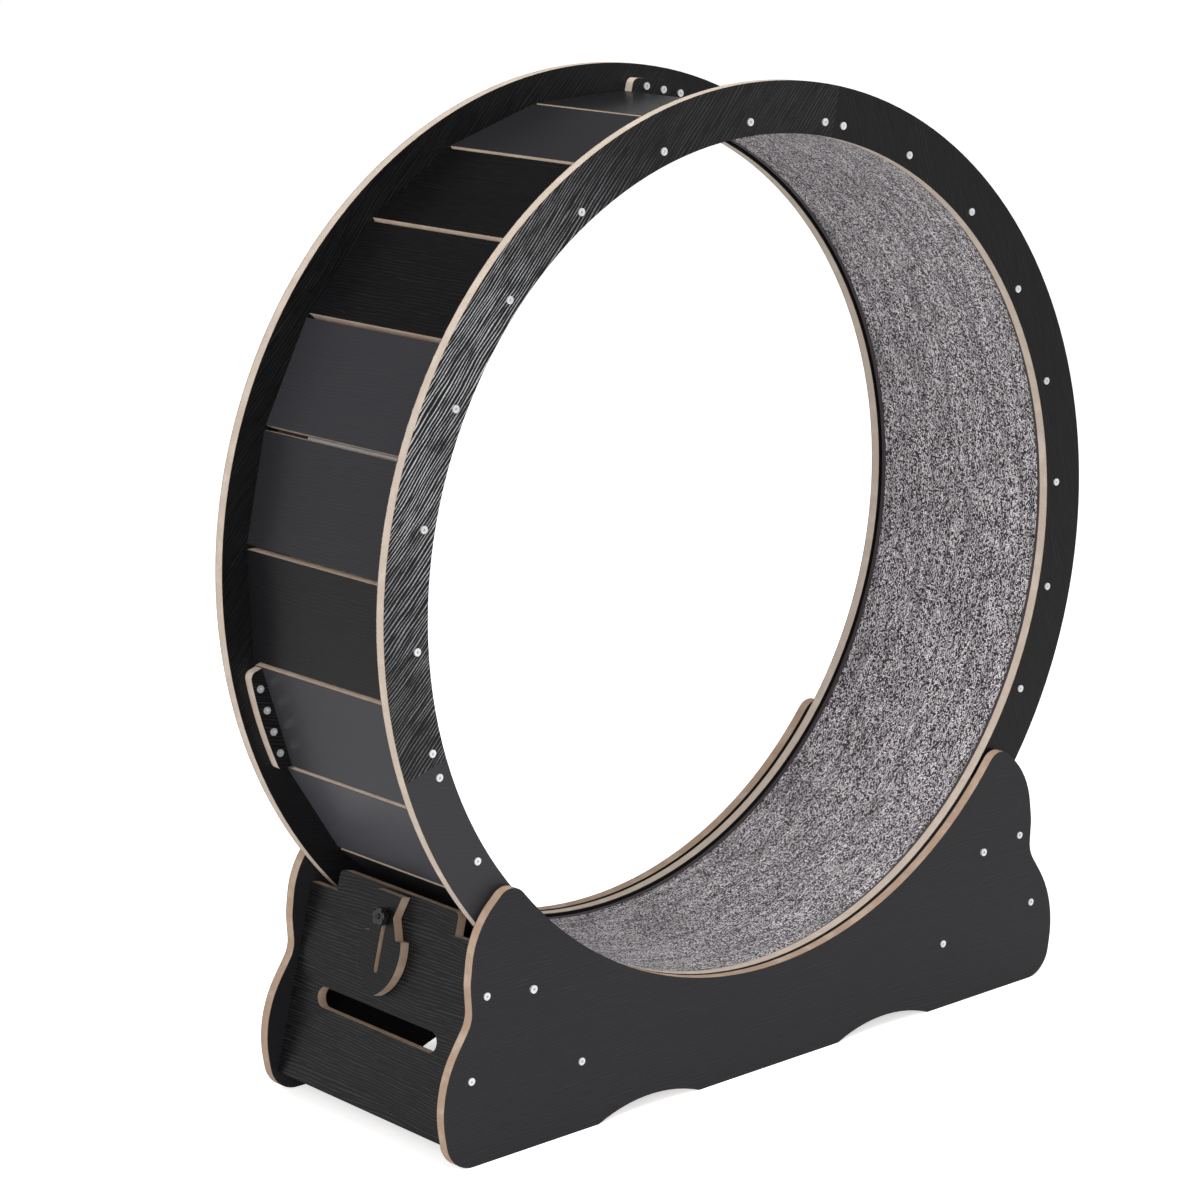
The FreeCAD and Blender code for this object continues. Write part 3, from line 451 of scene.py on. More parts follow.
def section_group(grain, core):
    """A laminated board: grain where the skin is, bare core with a scorched line where it was cut."""
    finish = settings().board
    tree, given, result = new_group(
        "Laminated board",
        [
            ("Place", VECTOR, None),
            ("Half", FLOAT, HALF_BOARD),
            ("Strength", FLOAT, 1.0),
            ("Face", COLOUR, None),
            ("Core", COLOUR, None),
        ],
        [("Color", COLOUR), ("Roughness", FLOAT), ("Height", FLOAT)],
    )
    depth = maths(tree, "ABSOLUTE", separate(tree, given["Place"])[2])
    below = maths(tree, "SUBTRACT", given["Half"], depth)
    share = maths(tree, "DIVIDE", depth, given["Half"])
    # The printed grain's colour also holds the painted highlights of its pale lines.
    printed = use_group(
        tree, grain, Place=given["Place"], Strength=given["Strength"],
        Face=given["Face"], Line=colour4(finish.grain),
    )
    bare = use_group(
        tree, core, Place=given["Place"], Depth=share,
        Core=given["Core"], Dark=colour4(finish.core_dark),
    )
    cut = step(tree, below, finish.skin, finish.skin + CUT_BLUR)
    ragged = noise(tree, given["Place"], scale=260.0, detail=2.0)
    burn_depth = maths(tree, "MULTIPLY_ADD", ragged, BURN_SPREAD, finish.skin)
    burn_end = maths(tree, "ADD", burn_depth, BURN_BLUR)
    burnt = step(tree, below, burn_depth, burn_end, low=0.8, high=0.0)
    edge = blend_colours(tree, burnt, bare["Color"], colour4(finish.scorch))
    feed(tree, blend_colours(tree, cut, printed["Color"], edge), result["Color"])
    feed(tree, maths(tree, "MULTIPLY_ADD", cut, 0.42, printed["Roughness"]), result["Roughness"])
    uncut = maths(tree, "SUBTRACT", 1.0, cut)
    height = maths(tree, "MULTIPLY", printed["Height"], uncut)
    feed(tree, maths(tree, "MULTIPLY_ADD", bare["Height"], cut, height), result["Height"])
    return tree


def extent(node, direction):
    """Lowest and highest reach of a node's points along a direction."""
    reaches = [point.co.dot(direction) for point in NODES[node].data.vertices]
    return min(reaches), max(reaches)


def own_sheet(node):
    """Where a board's own piece of the printed sheet lies."""
    return SHEET_STEP * list(NODES).index(node)


def fading_strength(tree, place, fade):
    """The strength of a grain that changes along its board."""
    along = separate(tree, place)[0]
    rise = step(tree, along, fade.start, fade.full_from, fade.before, 1.0)
    fall = step(tree, along, fade.full_to, fade.end, 1.0, fade.after)
    return maths(tree, "MULTIPLY", rise, fall)


def finish_board(name, directions_of, half, section, laminate):
    """The material of one board. A function gives its place in the board's own directions, and its shade."""
    finish = settings().board
    material, tree, shader = new_material(name, finish.face)
    place, own_shade = directions_of(tree)
    strength = laminate.strength
    if isinstance(strength, GrainFade):
        strength = fading_strength(tree, place, strength)
    face = colour4(finish.face, laminate.shade)
    # For the slats this own shade is painted light and shade, one level for each slat.
    if own_shade is not None:
        face = shaded(tree, face, own_shade)
    core = colour4(laminate.core)
    looks = use_group(tree, section, Place=place, Half=half, Strength=strength, Face=face, Core=core)
    feed(tree, looks["Color"], shader.inputs["Base Color"])
    feed(tree, looks["Roughness"], shader.inputs["Roughness"])
    shader.inputs["Specular IOR Level"].default_value = laminate.shine
    bump(tree, looks["Height"], shader)
    return material


def flat_board(node, along, normal, section, laminate):
    """Finishes a flat board whose grain runs along one direction and whose faces look along another."""
    along = along.normalized()
    normal = normal.normalized()
    across = normal.cross(along)
    low, high = extent(node, normal)
    turn = Matrix((along, across, normal))
    middle = normal * ((low + high) / 2)

    def directions_of(tree):
        mapping = tree.nodes.new("ShaderNodeMapping")
        mapping.inputs["Rotation"].default_value = turn.to_euler("XYZ")
        mapping.inputs["Location"].default_value = own_sheet(node) - turn @ middle
        feed(tree, object_place(tree), mapping.inputs["Vector"])
        return mapping.outputs[0], None

    half = (high - low) / 2
    paint(node, finish_board("board_" + node, directions_of, half, section, laminate))


def slat_shade(tree, number):
    """A slat's own painted light and shade, for the floor reflected in it: two waves out of step make one
    slat deep black and the next paler.
    """
    first, second = (
        maths(tree, "SINE", maths(tree, "MULTIPLY_ADD", number, turn, start)) for turn, start in SLAT_WAVES
    )
    dust_and_painted_light = maths(tree, "MULTIPLY_ADD", maths(tree, "ADD", first, second), 0.25, 0.5)
    return maths(tree, "MULTIPLY_ADD", maths(tree, "POWER", dust_and_painted_light, 2.0), SLAT_PAINTED_LIGHT, BLACKEST_SLAT)


def slat_place_group(phase, middle_radius):
    """Places on the slats: along a slat, across it and out from its middle, and each slat's own painted light
    and shade.
    """
    tree, given, result = new_group(
        "Slat directions", [("Place", VECTOR, None)], [("Place", VECTOR), ("Shade", FLOAT)]
    )
    x, y, z = separate(tree, vector_maths(tree, "SUBTRACT", given["Place"], tuple(HUB)))
    angle = maths(tree, "ARCTAN2", z, x)
    turned = maths(tree, "ADD", maths(tree, "SUBTRACT", angle, phase), SLAT_ANGLE / 2 + math.tau)
    local = maths(tree, "SUBTRACT", maths(tree, "MODULO", turned, SLAT_ANGLE), SLAT_ANGLE / 2)
    whole_slats = maths(tree, "FLOOR", maths(tree, "DIVIDE", turned, SLAT_ANGLE))
    number = maths(tree, "MODULO", whole_slats, SLAT_COUNT)
    radius = vector_length(tree, combine(tree, x, 0.0, z))
    across = maths(tree, "MULTIPLY", radius, maths(tree, "SINE", local))
    outward = maths(tree, "MULTIPLY", radius, maths(tree, "COSINE", local))
    out = maths(tree, "SUBTRACT", outward, middle_radius)
    along = maths(tree, "MULTIPLY_ADD", number, SLAT_SHEET_STEP[0], y)
    across = maths(tree, "MULTIPLY_ADD", number, SLAT_SHEET_STEP[1], across)
    feed(tree, combine(tree, along, across, out), result["Place"])
    feed(tree, slat_shade(tree, number), result["Shade"])
    return tree


class WHEEL_OT_finish_boards(bpy.types.Operator):
    """Gives every board its black grained laminate and its bare tan edges"""

    bl_idname = "wheel.finish_boards"
    bl_label = "Finish boards"

    def execute(self, context):
        section = section_group(grain_group(), core_group())
        self.finish_rings(section)
        self.finish_slats(section)
        self.finish_cradle(section)
        return {"FINISHED"}

    def finish_rings(self, section):
        """Each third of a ring has its grain square to its middle radius, and its own strength and shade."""
        strengths_and_shades = {
            "front_a": (self.bold_grain(), 1.0), "front_b": (0.01, 6.4), "front_c": (0.02, 0.6),
            "rear_a": (0.03, 0.8), "rear_b": (0.01, 1.6), "rear_c": (0.02, 0.8),
        }
        board = settings().board
        splice_laminate = Laminate(strength=0.04, shade=1.0, core=board.core, shine=board.shine)
        for name, (strength, shade) in strengths_and_shades.items():
            along = self.grain_direction(name[-1])
            laminate = Laminate(strength, shade, board.core, board.shine)
            flat_board(f"ring_{name}", along, WIDTHWAYS, section, laminate)
            flat_board(f"splice_{name}", along, WIDTHWAYS, section, splice_laminate)

    def grain_direction(self, third):
        heading = math.radians(GRAIN_HEADINGS[third])
        return Vector((math.cos(heading), 0, math.sin(heading)))

    def bold_grain(self):
        """The boldest grain and painted highlights, of the first third in front: faint at its lower joint and
        gone at the top.
        """
        hub = own_sheet("ring_front_a").x + HUB.dot(self.grain_direction("a"))
        return GrainFade(
            start=hub - 0.44, full_from=hub - 0.18, full_to=hub - 0.10, end=hub + 0.24,
            before=0.20, after=0.06,
        )

    def finish_slats(self, section):
        """All the slats share one material, which finds each slat by its angle from the second one."""
        points = [point.co for point in NODES[SLATS[1]].data.vertices]
        middle = sum(points, Vector()) / len(points) - HUB
        phase = math.atan2(middle.z, middle.x) - math.tau
        directions = slat_place_group(phase, math.hypot(middle.x, middle.z))

        def directions_of(tree):
            placed = use_group(tree, directions, Place=object_place(tree))
            return placed["Place"], placed["Shade"]

        board = settings().board
        laminate = Laminate(strength=0.012, shade=1.0, core=board.core, shine=board.slat_shine)
        material = finish_board("board_slats", directions_of, HALF_BOARD, section, laminate)
        for slat in SLATS:
            paint(slat, material)

    def finish_cradle(self, section):
        """Each board's grain direction, the direction its faces look, and its grain's strength and shade."""
        right_outward = Vector((-OUTWARD.x, 0, OUTWARD.z))
        boards = {
            "side_panel_front": (LENGTHWAYS, WIDTHWAYS, 0.015, 3.0),
            "side_panel_rear": (LENGTHWAYS, WIDTHWAYS, 0.015, 3.0),
            "end_panel_left": (WIDTHWAYS, OUTWARD, 0.045, 0.7),
            "end_panel_right": (WIDTHWAYS, right_outward, 0.045, 0.7),
            "cross_beam_left": (WIDTHWAYS, LENGTHWAYS, 0.05, 1.0),
            "cross_beam_right": (WIDTHWAYS, LENGTHWAYS, 0.05, 1.0),
            "lock_plate": (WIDTHWAYS, OUTWARD, 0.02, 0.8),
        }
        board = settings().board
        for node, (along, normal, strength, shade) in boards.items():
            laminate = Laminate(strength, shade, board.cradle_core, board.shine)
            flat_board(node, along, normal, section, laminate)


# ---------------------------------------------------------------- carpet

CARPET_CLEARANCE = 0.1 * MM  # from the tape under the carpet to the back of the carpet's solid
CLOUD_SIZE = 11 * MM
BACKING_DEPTH = 1.2 * MM
HEM_STEPS_AROUND = 360
HEM_STEPS_ACROSS = 4
SMOOTH_ANGLE = math.radians(50)
STITCH_ROWS = 1290
LOOP_SHAPE = (0.85, 1.25, 0.0)  # cells in one loop's width, around the drum and across it
LOOP_DOME = 0.6 * MM
FUZZ_RELIEF = 0.2 * MM
WARP_GAP = 2.1 * MM
WEFT_GAP = 2.6 * MM
WEAVE_RELIEF = 0.15 * MM
TWILL_GAP = 0.9 * MM
TWILL_RELIEF = 0.12 * MM


def deselect_all():
    if bpy.context.mode != "OBJECT":
        bpy.ops.object.mode_set(mode="OBJECT")
    bpy.ops.object.select_all(action="DESELECT")


def select_edges(obj, wanted):
    """Selects the edges of a mesh in edit mode that a test wants, and nothing else."""
    bpy.ops.mesh.select_all(action="DESELECT")
    mesh = bmesh.from_edit_mesh(obj.data)
    for edge in mesh.edges:
        edge.select = wanted(edge)
    mesh.select_flush_mode()
    bmesh.update_edit_mesh(obj.data)


def drum_shell(name, radius, low, high, around, across):
    """An open drum about the wheel's axle, with even steps around it and across it."""
    deselect_all()
    bpy.ops.mesh.primitive_cylinder_add(
        vertices=around, radius=radius, depth=high - low, end_fill_type="NOTHING",
        location=(HUB.x, (low + high) / 2, HUB.z), rotation=(math.pi / 2, 0, 0),
    )
    shell = bpy.context.active_object
    shell.name = name
    shell.data.name = name
    bpy.ops.object.transform_apply(location=True, rotation=True, scale=True)
    bpy.ops.object.mode_set(mode="EDIT")
    bpy.ops.mesh.select_mode(type="EDGE")
    select_edges(shell, lambda edge: abs(edge.verts[0].co.y - edge.verts[1].co.y) > MM)
    bpy.ops.mesh.subdivide(number_cuts=across - 1)
    bpy.ops.object.mode_set(mode="OBJECT")
    return shell


def apply_modifier(obj, kind, **values):
    modifier = obj.modifiers.new(kind.lower(), kind)
    for name, value in values.items():
        setattr(modifier, name, value)
    bpy.context.view_layer.objects.active = obj
    bpy.ops.object.modifier_apply(modifier=modifier.name)


def is_rim(edge):
    """Whether an edge lies on an open rim."""
    return len(edge.link_faces) == 1


def roll_outwards(obj, wanted, radius_from, radius_to):
    """Extrudes the wanted rims of a drum outwards to another radius."""
    select_edges(obj, wanted)
    bpy.ops.mesh.extrude_edges_move()
    grow = radius_to / radius_from
    bpy.ops.transform.resize(value=(grow, 1, grow), center_override=tuple(HUB))


def face_outwards():
    """Turns all faces of the mesh in edit mode outwards, and leaves edit mode."""
    bpy.ops.mesh.select_all(action="SELECT")
    bpy.ops.mesh.normals_make_consistent(inside=False)
    bpy.ops.object.mode_set(mode="OBJECT")


class WHEEL_OT_lay_carpet(bpy.types.Operator):
    """Lays the speckled carpet on the slats and binds both its edges with tape"""

    bl_idname = "wheel.lay_carpet"
    bl_label = "Lay carpet"

    def execute(self, context):
        finish = settings().carpet
        self.back_radius = CARPET_BACK_RADIUS - finish.tape - CARPET_CLEARANCE
        self.pile_radius = self.back_radius - finish.height
        self.half_width = CARPET_HALF_WIDTH - finish.tape
        carpet = self.model_pile(finish)
        hems = [self.model_hem(name, side, finish) for name, side in (("front", -1), ("rear", 1))]
        directions = drum_place_group()
        carpet.data.materials.append(carpet_material(directions))
        carpet.data.materials.append(backing_material(directions))
        self.show_backing(carpet)
        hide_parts("carpet")
        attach(carpet, "wheel")
        binding = hem_material(directions)
        for hem in hems:
            hem.data.materials.append(binding)
            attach(hem, "wheel")
        return {"FINISHED"}

    def model_pile(self, finish):
        """One drum of pile that rises and falls a little, closed round its rims and over its backing."""
        carpet = drum_shell(
            "carpet_pile", self.pile_radius, -self.half_width, self.half_width, finish.around, finish.across
        )
        clouds = bpy.data.textures.new("carpet unevenness", "CLOUDS")
        clouds.noise_scale = CLOUD_SIZE
        clouds.noise_depth = 3
        apply_modifier(carpet, "DISPLACE", texture=clouds, strength=finish.unevenness, mid_level=0.5)
        bpy.ops.object.mode_set(mode="EDIT")
        roll_outwards(carpet, is_rim, self.pile_radius, self.back_radius)
        bpy.ops.mesh.bridge_edge_loops()
        face_outwards()
        bpy.ops.object.shade_smooth_by_angle(angle=SMOOTH_ANGLE)
        return carpet

    def show_backing(self, carpet):
        """Gives the second material to the faces on the outside of the carpet."""
        for face in carpet.data.polygons:
            out = math.hypot(face.center.x - HUB.x, face.center.z - HUB.z)
            if out > self.back_radius - BACKING_DEPTH:
                face.material_index = 1

    def model_hem(self, name, side, finish):
        """Dark tape on one edge of the carpet, on the pile and round the edge, and a dark strip from there
        under the carpet.
        """
        outer = side * (self.half_width + finish.tape / 2)
        inner = side * (self.half_width - finish.hem_width)
        pile_side = self.pile_radius - finish.unevenness / 2 - finish.tape / 2
        under_side = self.back_radius + finish.tape / 2
        low, high = min(outer, inner), max(outer, inner)
        hem = drum_shell(f"carpet_hem_{name}", pile_side, low, high, HEM_STEPS_AROUND, HEM_STEPS_ACROSS)

        def at_carpet_edge(edge):
            return is_rim(edge) and abs(edge.verts[0].co.y - outer) < 0.1 * MM

        bpy.ops.object.mode_set(mode="EDIT")
        roll_outwards(hem, at_carpet_edge, pile_side, under_side)
        # The strip under the carpet is dark, hem_turn wide, and darkens the backing seen between the slats
        # near each ring.
        bpy.ops.mesh.extrude_edges_move()
        bpy.ops.transform.translate(value=(0, -side * finish.hem_turn, 0))
        face_outwards()
        apply_modifier(hem, "SOLIDIFY", thickness=finish.tape, offset=0.0, use_even_offset=True)
        apply_modifier(hem, "BEVEL", width=finish.tape * 0.4, segments=2, angle_limit=math.radians(40))
        bpy.ops.object.shade_smooth_by_angle(angle=SMOOTH_ANGLE)
        return hem


def drum_place_group():
    """Places on the drum: around it, across it and out from its axle, in metres, and the angle around it."""
    tree, given, result = new_group(
        "Drum directions", [("Place", VECTOR, None)], [("Place", VECTOR), ("Angle", FLOAT)]
    )
    x, y, z = separate(tree, vector_maths(tree, "SUBTRACT", given["Place"], tuple(HUB)))
    angle = maths(tree, "ARCTAN2", z, x)
    radius = vector_length(tree, combine(tree, x, 0.0, z))
    around = maths(tree, "MULTIPLY", angle, CARPET_BACK_RADIUS)
    feed(tree, combine(tree, around, y, radius), result["Place"])
    feed(tree, angle, result["Angle"])
    return tree


def yarn_group():
    """Rows of loops in two mixed yarns, a few mauve: colour with painted shade between loops, and how far
    each stands up.
    """
    finish = settings().carpet
    tree, given, result = new_group(
        "Loop yarn",
        [("Place", VECTOR, None), ("Dark", COLOUR, None), ("Light", COLOUR, None), ("Tint", COLOUR, None)],
        [("Color", COLOUR), ("Height", FLOAT)],
    )
    flat = vector_maths(tree, "MULTIPLY", given["Place"], LOOP_SHAPE)
    distance, own = cells(tree, flat, scale=1 / finish.loop, randomness=0.45)
    pick, tinting, shade = separate(tree, own)
    drift = noise(tree, given["Place"], scale=30.0, detail=3.0, roughness=0.6)
    limit = maths(tree, "MULTIPLY_ADD", drift, 0.40, 0.27)
    is_light = step(tree, maths(tree, "SUBTRACT", pick, limit), start=-0.03, end=0.04)
    colour = blend_colours(tree, is_light, given["Dark"], given["Light"])
    is_tinted = step(tree, tinting, start=0.80, end=0.84, low=0.0, high=0.7)
    colour = blend_colours(tree, is_tinted, colour, given["Tint"])
    # Painted shade: each loop darkens towards its edge, where it meets the next loop.
    shading = step(tree, distance, start=0.20, end=0.75, low=1.0, high=0.30)
    own_shading = step(tree, shade, start=0.0, end=1.0, low=0.70, high=1.15)
    shading = maths(tree, "MULTIPLY", shading, own_shading)
    fuzz = noise(tree, given["Place"], scale=2600.0, detail=2.0, roughness=0.7)
    fuzz_shading = step(tree, fuzz, start=0.3, end=0.7, low=0.70, high=1.15)
    shading = maths(tree, "MULTIPLY", shading, fuzz_shading)
    feed(tree, shaded(tree, colour, shading), result["Color"])
    dome = step(tree, distance, start=0.0, end=0.8, low=LOOP_DOME, high=0.0)
    feed(tree, maths(tree, "MULTIPLY_ADD", fuzz, FUZZ_RELIEF, dome), result["Height"])
    return tree


def carpet_material(directions):
    finish = settings().carpet
    material, tree, shader = new_material("speckled_loop_carpet", finish.light)
    drum = use_group(tree, directions, Place=object_place(tree))
    yarn = use_group(
        tree, yarn_group(), Place=drum["Place"],
        Dark=colour4(finish.dark), Light=colour4(finish.light), Tint=colour4(finish.tint),
    )
    streaks = scaled_noise(tree, drum["Place"], (11.0, 130.0, 0.0), detail=2.0)
    rows = maths(tree, "SINE", maths(tree, "MULTIPLY", drum["Angle"], STITCH_ROWS))
    shade = step(tree, streaks, start=0.34, end=0.60, low=0.62, high=1.08)
    shade = maths(tree, "MULTIPLY", shade, maths(tree, "MULTIPLY_ADD", rows, 0.22, 1.0))
    feed(tree, shaded(tree, yarn["Color"], shade), shader.inputs["Base Color"])
    shader.inputs["Roughness"].default_value = 0.95
    shader.inputs["Specular IOR Level"].default_value = 0.2
    shader.inputs["Sheen Weight"].default_value = 0.25
    shader.inputs["Sheen Roughness"].default_value = 0.5
    bump(tree, yarn["Height"], shader)
    return material


def backing_material(directions):
    """White woven scrim under the carpet, which shows between the slats, with painted shade where its threads
    dip.
    """
    finish = settings().carpet
    material, tree, shader = new_material("woven_backing", finish.backing)
    drum = use_group(tree, directions, Place=object_place(tree))
    around, across, _ = separate(tree, drum["Place"])
    warp = maths(tree, "SINE", maths(tree, "MULTIPLY", across, math.tau / WARP_GAP))
    weft = maths(tree, "SINE", maths(tree, "MULTIPLY", around, math.tau / WEFT_GAP))
    weave = maths(tree, "MAXIMUM", warp, weft)
    dust = noise(tree, drum["Place"], scale=120.0, detail=3.0)
    grey = colour4(finish.backing, 0.72)
    # Painted shade: the scrim is greyer where its threads dip below the raised ones.
    raised = step(tree, weave, start=-0.5, end=0.7)
    tone = blend_colours(tree, raised, grey, colour4(finish.backing))
    dust_and_painted_light = step(tree, dust, start=0.5, end=0.75, low=0.0, high=0.25)
    feed(tree, blend_colours(tree, dust_and_painted_light, tone, grey), shader.inputs["Base Color"])
    shader.inputs["Roughness"].default_value = 0.9
    bump(tree, maths(tree, "MULTIPLY", weave, WEAVE_RELIEF), shader)
    return material


def hem_material(directions):
    """Dark twill tape: slanting ribs of fine threads, with painted shade between the ribs."""
    finish = settings().carpet
    material, tree, shader = new_material("hem_tape", finish.hem)
    drum = use_group(tree, directions, Place=object_place(tree))
    around, across, _ = separate(tree, drum["Place"])
    slant = maths(tree, "ADD", around, across)
    twill = maths(tree, "SINE", maths(tree, "MULTIPLY", slant, math.tau / TWILL_GAP))
    thread = scaled_noise(tree, drum["Place"], (500.0, 1400.0, 500.0), detail=2.0)
    lift = maths(tree, "MULTIPLY_ADD", twill, 0.22, maths(tree, "MULTIPLY", thread, 1.1))
    raised = step(tree, lift, start=0.2, end=0.9)
    # Painted shade: the tape is darker in the grooves between its raised ribs.
    colour = blend_colours(tree, raised, colour4(finish.hem, 0.45), colour4(finish.hem))
    feed(tree, colour, shader.inputs["Base Color"])
    shader.inputs["Roughness"].default_value = 0.85
    shader.inputs["Sheen Weight"].default_value = 0.2
    bump(tree, maths(tree, "MULTIPLY", lift, TWILL_RELIEF), shader)
    return material


# ---------------------------------------------------------------- metalwork, rollers and lock

SCRATCH_RELIEF = 0.01 * MM
TYRE_RELIEF = 0.03 * MM
KNOB_RELIEF = 0.004 * MM


def worn_metal(name, colour, roughness, scratch_scale, metallic):
    """Metal with fine drawn marks and slightly cloudy patches."""
    material, tree, shader = new_material(name, colour)
    place = object_place(tree)
    cloud = noise(tree, place, scale=90.0, detail=3.0)
    drawn_out = vector_maths(tree, "MULTIPLY", place, (1.0, 0.12, 1.0))
    marks = noise(tree, drawn_out, scale=scratch_scale, detail=2.0)
    bright = step(tree, cloud, start=0.35, end=0.65)
    tone = blend_colours(tree, bright, colour4(colour, 0.85), colour4(colour))
    feed(tree, tone, shader.inputs["Base Color"])
    feed(tree, swung(tree, marks, 0.18, roughness), shader.inputs["Roughness"])
    shader.inputs["Metallic"].default_value = metallic
    bump(tree, maths(tree, "MULTIPLY", marks, SCRATCH_RELIEF), shader)
    return material


def moulded_plastic(name, colour, roughness, relief):
    """Moulded plastic with a fine sandy texture and faint flow marks."""
    material, tree, shader = new_material(name, colour)
    place = object_place(tree)
    sand = noise(tree, place, scale=2400.0, detail=2.0)
    flow = noise(tree, place, scale=60.0, detail=2.0)
    pale = tuple(min(1.0, part * 1.5 + 0.004) for part in colour)
    flowed = step(tree, flow, start=0.35, end=0.7)
    feed(tree, blend_colours(tree, flowed, colour4(colour), colour4(pale)), shader.inputs["Base Color"])
    feed(tree, swung(tree, flow, 0.12, roughness), shader.inputs["Roughness"])
    bump(tree, maths(tree, "MULTIPLY", sand, relief), shader)
    return material


class WHEEL_OT_finish_metalwork(bpy.types.Operator):
    """Gives the screws, bolts, nuts and sleeves their bright zinc and ground steel"""

    bl_idname = "wheel.finish_metalwork"
    bl_label = "Finish metalwork"

    def execute(self, context):
        finish = settings().metal
        zinc = worn_metal("bright_zinc", finish.zinc, roughness=0.30, scratch_scale=900.0, metallic=0.6)
        blackened = worn_metal(
            "blackened_steel", finish.black, roughness=0.42, scratch_scale=900.0, metallic=0.6
        )
        steel = worn_metal("ground_steel", finish.steel, roughness=0.22, scratch_scale=1500.0, metallic=1.0)
        for node in ("ring_screws", "splice_screws", "cradle_screws", "axle_bolts", "axle_nuts"):
            paint(node, zinc)
        paint("lock_bolt", blackened)
        paint("axle_sleeves", steel)
        for corner in CORNERS:
            paint(f"bearing_{corner}", steel)
        return {"FINISHED"}


class WHEEL_OT_finish_rollers(bpy.types.Operator):
    """Gives the roller tyres their matte moulded plastic"""

    bl_idname = "wheel.finish_rollers"
    bl_label = "Finish rollers"

    def execute(self, context):
        colour = settings().metal.tyre
        tyre = moulded_plastic("tyre_plastic", colour, roughness=0.55, relief=TYRE_RELIEF)
        for corner in CORNERS:
            paint(f"roller_{corner}", tyre)
        return {"FINISHED"}


class WHEEL_OT_finish_lock(bpy.types.Operator):
    """Gives the lock knob its glossy plastic"""

    bl_idname = "wheel.finish_lock"
    bl_label = "Finish lock"

    def execute(self, context):
        colour = settings().metal.knob
        knob = moulded_plastic("knob_plastic", colour, roughness=0.34, relief=KNOB_RELIEF)
        paint("lock_knob", knob)
        return {"FINISHED"}


# ---------------------------------------------------------------- studio

WHITE = (1, 1, 1, 1)
FLOOR_SIZE = 24.0
LAMP_SIZE = 2.4
FRAME_WIDTH = 36.0  # of the camera, in millimetres


def floor_material(colour, glow):
    """Pale floor that takes the object's shadow, and shows white to the camera where it is fully lit."""
    material, tree, shader = new_material("studio_floor", colour)
    shader.inputs["Roughness"].default_value = 0.9
    shader.inputs["Specular IOR Level"].default_value = 0.1
    grain = noise(tree, object_place(tree), scale=300.0, detail=2.0)
    pale_share = step(tree, grain, start=0.2, end=0.8, low=0.0, high=0.02)
    feed(tree, blend_colours(tree, pale_share, colour4(colour), WHITE), shader.inputs["Base Color"])
    path = tree.nodes.new("ShaderNodeLightPath")
    seen_glow = maths(tree, "MULTIPLY", path.outputs["Is Camera Ray"], glow)
    feed(tree, seen_glow, shader.inputs["Emission Strength"])
    shader.inputs["Emission Color"].default_value = WHITE
    return material


def white_surroundings(level, ceiling):
    """White background for what the camera or a shiny surface sees, and plain soft light for the rest."""
    world = bpy.data.worlds.new("studio")
    bpy.context.scene.world = world
    world.use_nodes = True
    tree = world.node_tree
    tree.nodes.clear()
    path = tree.nodes.new("ShaderNodeLightPath")
    height = separate(tree, tree.nodes.new("ShaderNodeTexCoord").outputs["Generated"])[2]
    walls = step(tree, height, start=0.04, end=0.42, low=1.0, high=ceiling)
    mirrored = maths(tree, "MAXIMUM", path.outputs["Is Glossy Ray"], path.outputs["Is Transmission Ray"])
    strength = maths(tree, "MULTIPLY_ADD", mirrored, maths(tree, "SUBTRACT", walls, level), level)
    strength = maths(tree, "MAXIMUM", strength, path.outputs["Is Camera Ray"])
    background = tree.nodes.new("ShaderNodeBackground")
    feed(tree, strength, background.inputs["Strength"])
    background.inputs["Color"].default_value = WHITE
    output = tree.nodes.new("ShaderNodeOutputWorld")
    tree.links.new(background.outputs[0], output.inputs[0])


def soft_lamp(name, place, aim, power):
    """A square area lamp that points at a place."""
    deselect_all()
    bpy.ops.object.light_add(type="AREA", location=place)
    lamp = bpy.context.active_object
    lamp.name = name
    lamp.rotation_euler = (Vector(aim) - Vector(place)).to_track_quat("-Z", "Y").to_euler()
    lamp.data.shape = "SQUARE"
    lamp.data.size = LAMP_SIZE
    lamp.data.energy = power


def studio_camera(studio):
    """The camera of the photograph: heading, pitch and roll about its own place."""
    heading, pitch, roll = studio.camera_turn
    forward = Vector((
        math.sin(heading) * math.cos(pitch), math.cos(heading) * math.cos(pitch), math.sin(pitch)
    ))
    right = forward.cross(UPWARDS).normalized()
    up = right.cross(forward)
    rolled_right = right * math.cos(roll) + up * math.sin(roll)
    rolled_up = up * math.cos(roll) - right * math.sin(roll)
    deselect_all()
    bpy.ops.object.camera_add(location=studio.camera_place)
    camera = bpy.context.active_object
    camera.name = "camera"
    turn = Matrix((rolled_right, rolled_up, -forward)).transposed()
    camera.rotation_euler = turn.to_euler()
    camera.data.sensor_width = FRAME_WIDTH
    camera.data.lens = studio.lens
    camera.data.shift_x, camera.data.shift_y = studio.shift
    camera.data.clip_end = 60.0
    bpy.context.scene.camera = camera


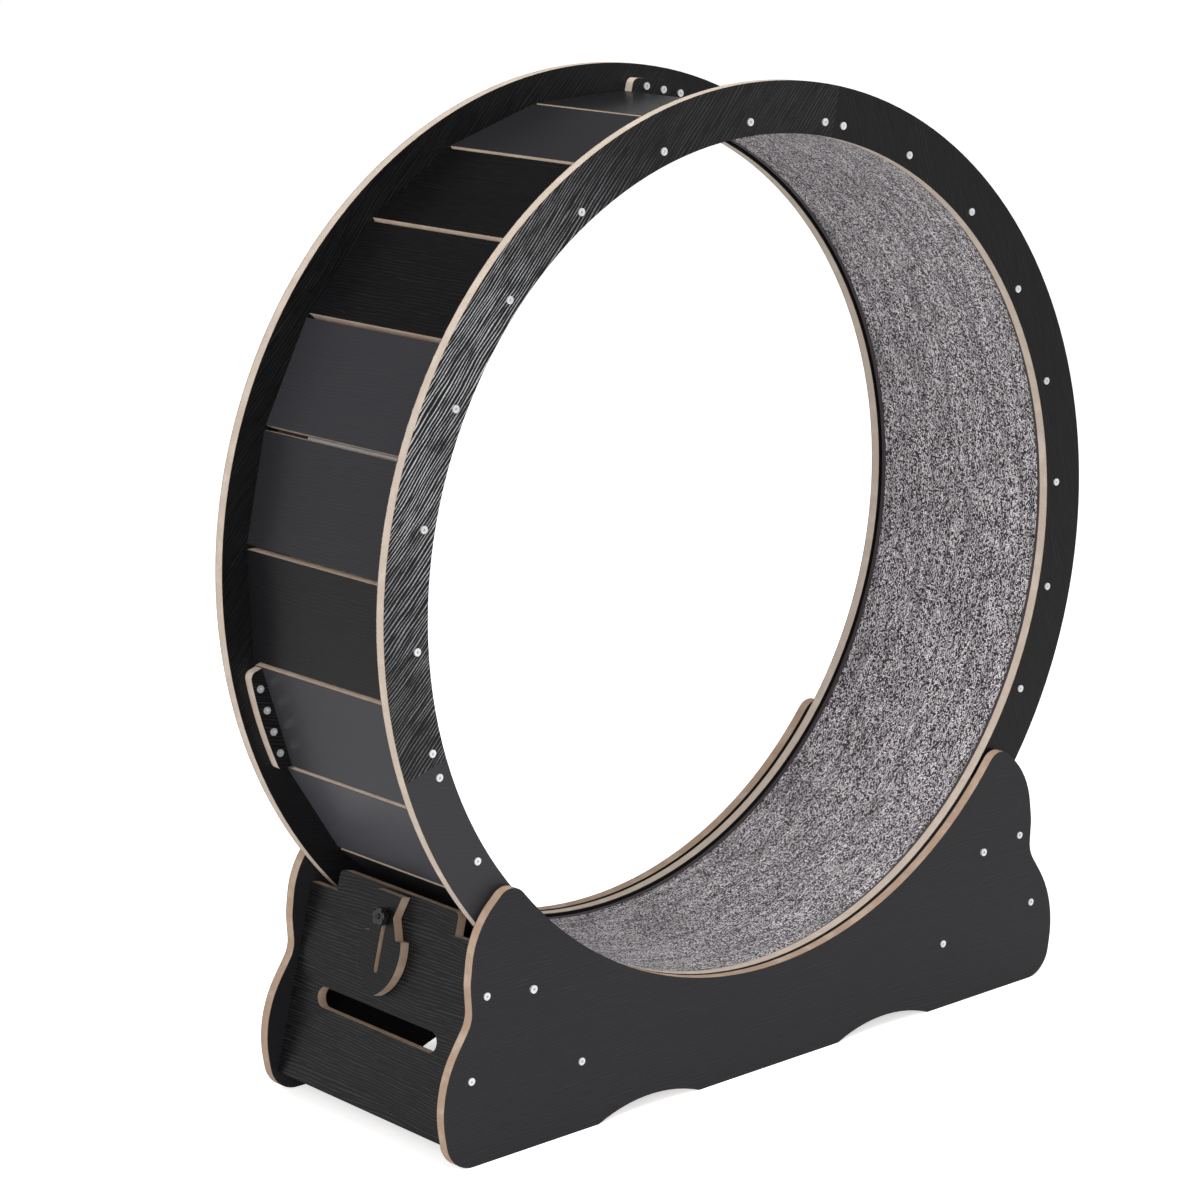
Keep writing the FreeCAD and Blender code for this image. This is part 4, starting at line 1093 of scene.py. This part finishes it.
class WHEEL_OT_set_studio(bpy.types.Operator):
    """Sets the floor, the soft lamps, the white surroundings and the camera"""

    bl_idname = "wheel.set_studio"
    bl_label = "Set studio"

    def execute(self, context):
        studio = settings().studio
        deselect_all()
        bpy.ops.mesh.primitive_plane_add(size=FLOOR_SIZE, location=(0, 0, CAD_LOW.z))
        floor = bpy.context.active_object
        floor.name = "studio_floor"
        bpy.ops.object.transform_apply(location=True, rotation=True, scale=True)
        floor.data.materials.append(floor_material(studio.floor, studio.floor_glow))
        soft_lamp("overhead_lamp", place=(0.2, -0.9, 3.2), aim=(0, 0, 0.4), power=studio.overhead)
        soft_lamp("side_lamp", place=(-3.6, -1.7, 2.0), aim=(0.2, 0, 0.5), power=studio.side)
        white_surroundings(studio.surroundings, studio.ceiling)
        studio_camera(studio)
        context.scene.view_settings.view_transform = "Standard"
        return {"FINISHED"}


# ---------------------------------------------------------------- add-on

class WheelSettings(bpy.types.PropertyGroup):
    board: PointerProperty(type=BoardFinish, name="Boards", description="Laminate, grain and bare edges")
    carpet: PointerProperty(type=CarpetFinish, name="Carpet", description="Yarns, pile and hems")
    metal: PointerProperty(type=MetalFinish, name="Metal and plastic", description="Screws, rollers and knob")
    studio: PointerProperty(type=StudioSettings, name="Studio", description="Camera, lamps and floor")


class WHEEL_PT_panel(bpy.types.Panel):
    """Lists the steps that dress the wheel"""

    bl_label = "Cat exercise wheel"
    bl_idname = "WHEEL_PT_panel"
    bl_space_type = "VIEW_3D"
    bl_region_type = "UI"
    bl_category = "Wheel"

    def draw(self, context):
        for operator in OPERATORS:
            self.layout.operator(operator.bl_idname)


OPERATORS = (
    WHEEL_OT_finish_boards,
    WHEEL_OT_lay_carpet,
    WHEEL_OT_finish_metalwork,
    WHEEL_OT_finish_rollers,
    WHEEL_OT_finish_lock,
    WHEEL_OT_set_studio,
)
SETTINGS = (BoardFinish, CarpetFinish, MetalFinish, StudioSettings, WheelSettings)
CLASSES = SETTINGS + OPERATORS + (WHEEL_PT_panel,)


def register():
    for each in CLASSES:
        bpy.utils.register_class(each)
    bpy.types.Scene.exercise_wheel = PointerProperty(type=WheelSettings, name="Cat exercise wheel")


def unregister():
    del bpy.types.Scene.exercise_wheel
    for each in reversed(CLASSES):
        bpy.utils.unregister_class(each)


def main():
    register()
    bpy.ops.wheel.finish_boards()
    bpy.ops.wheel.lay_carpet()
    bpy.ops.wheel.finish_metalwork()
    bpy.ops.wheel.finish_rollers()
    bpy.ops.wheel.finish_lock()
    bpy.ops.wheel.set_studio()


if __name__ == "__main__":
    main()
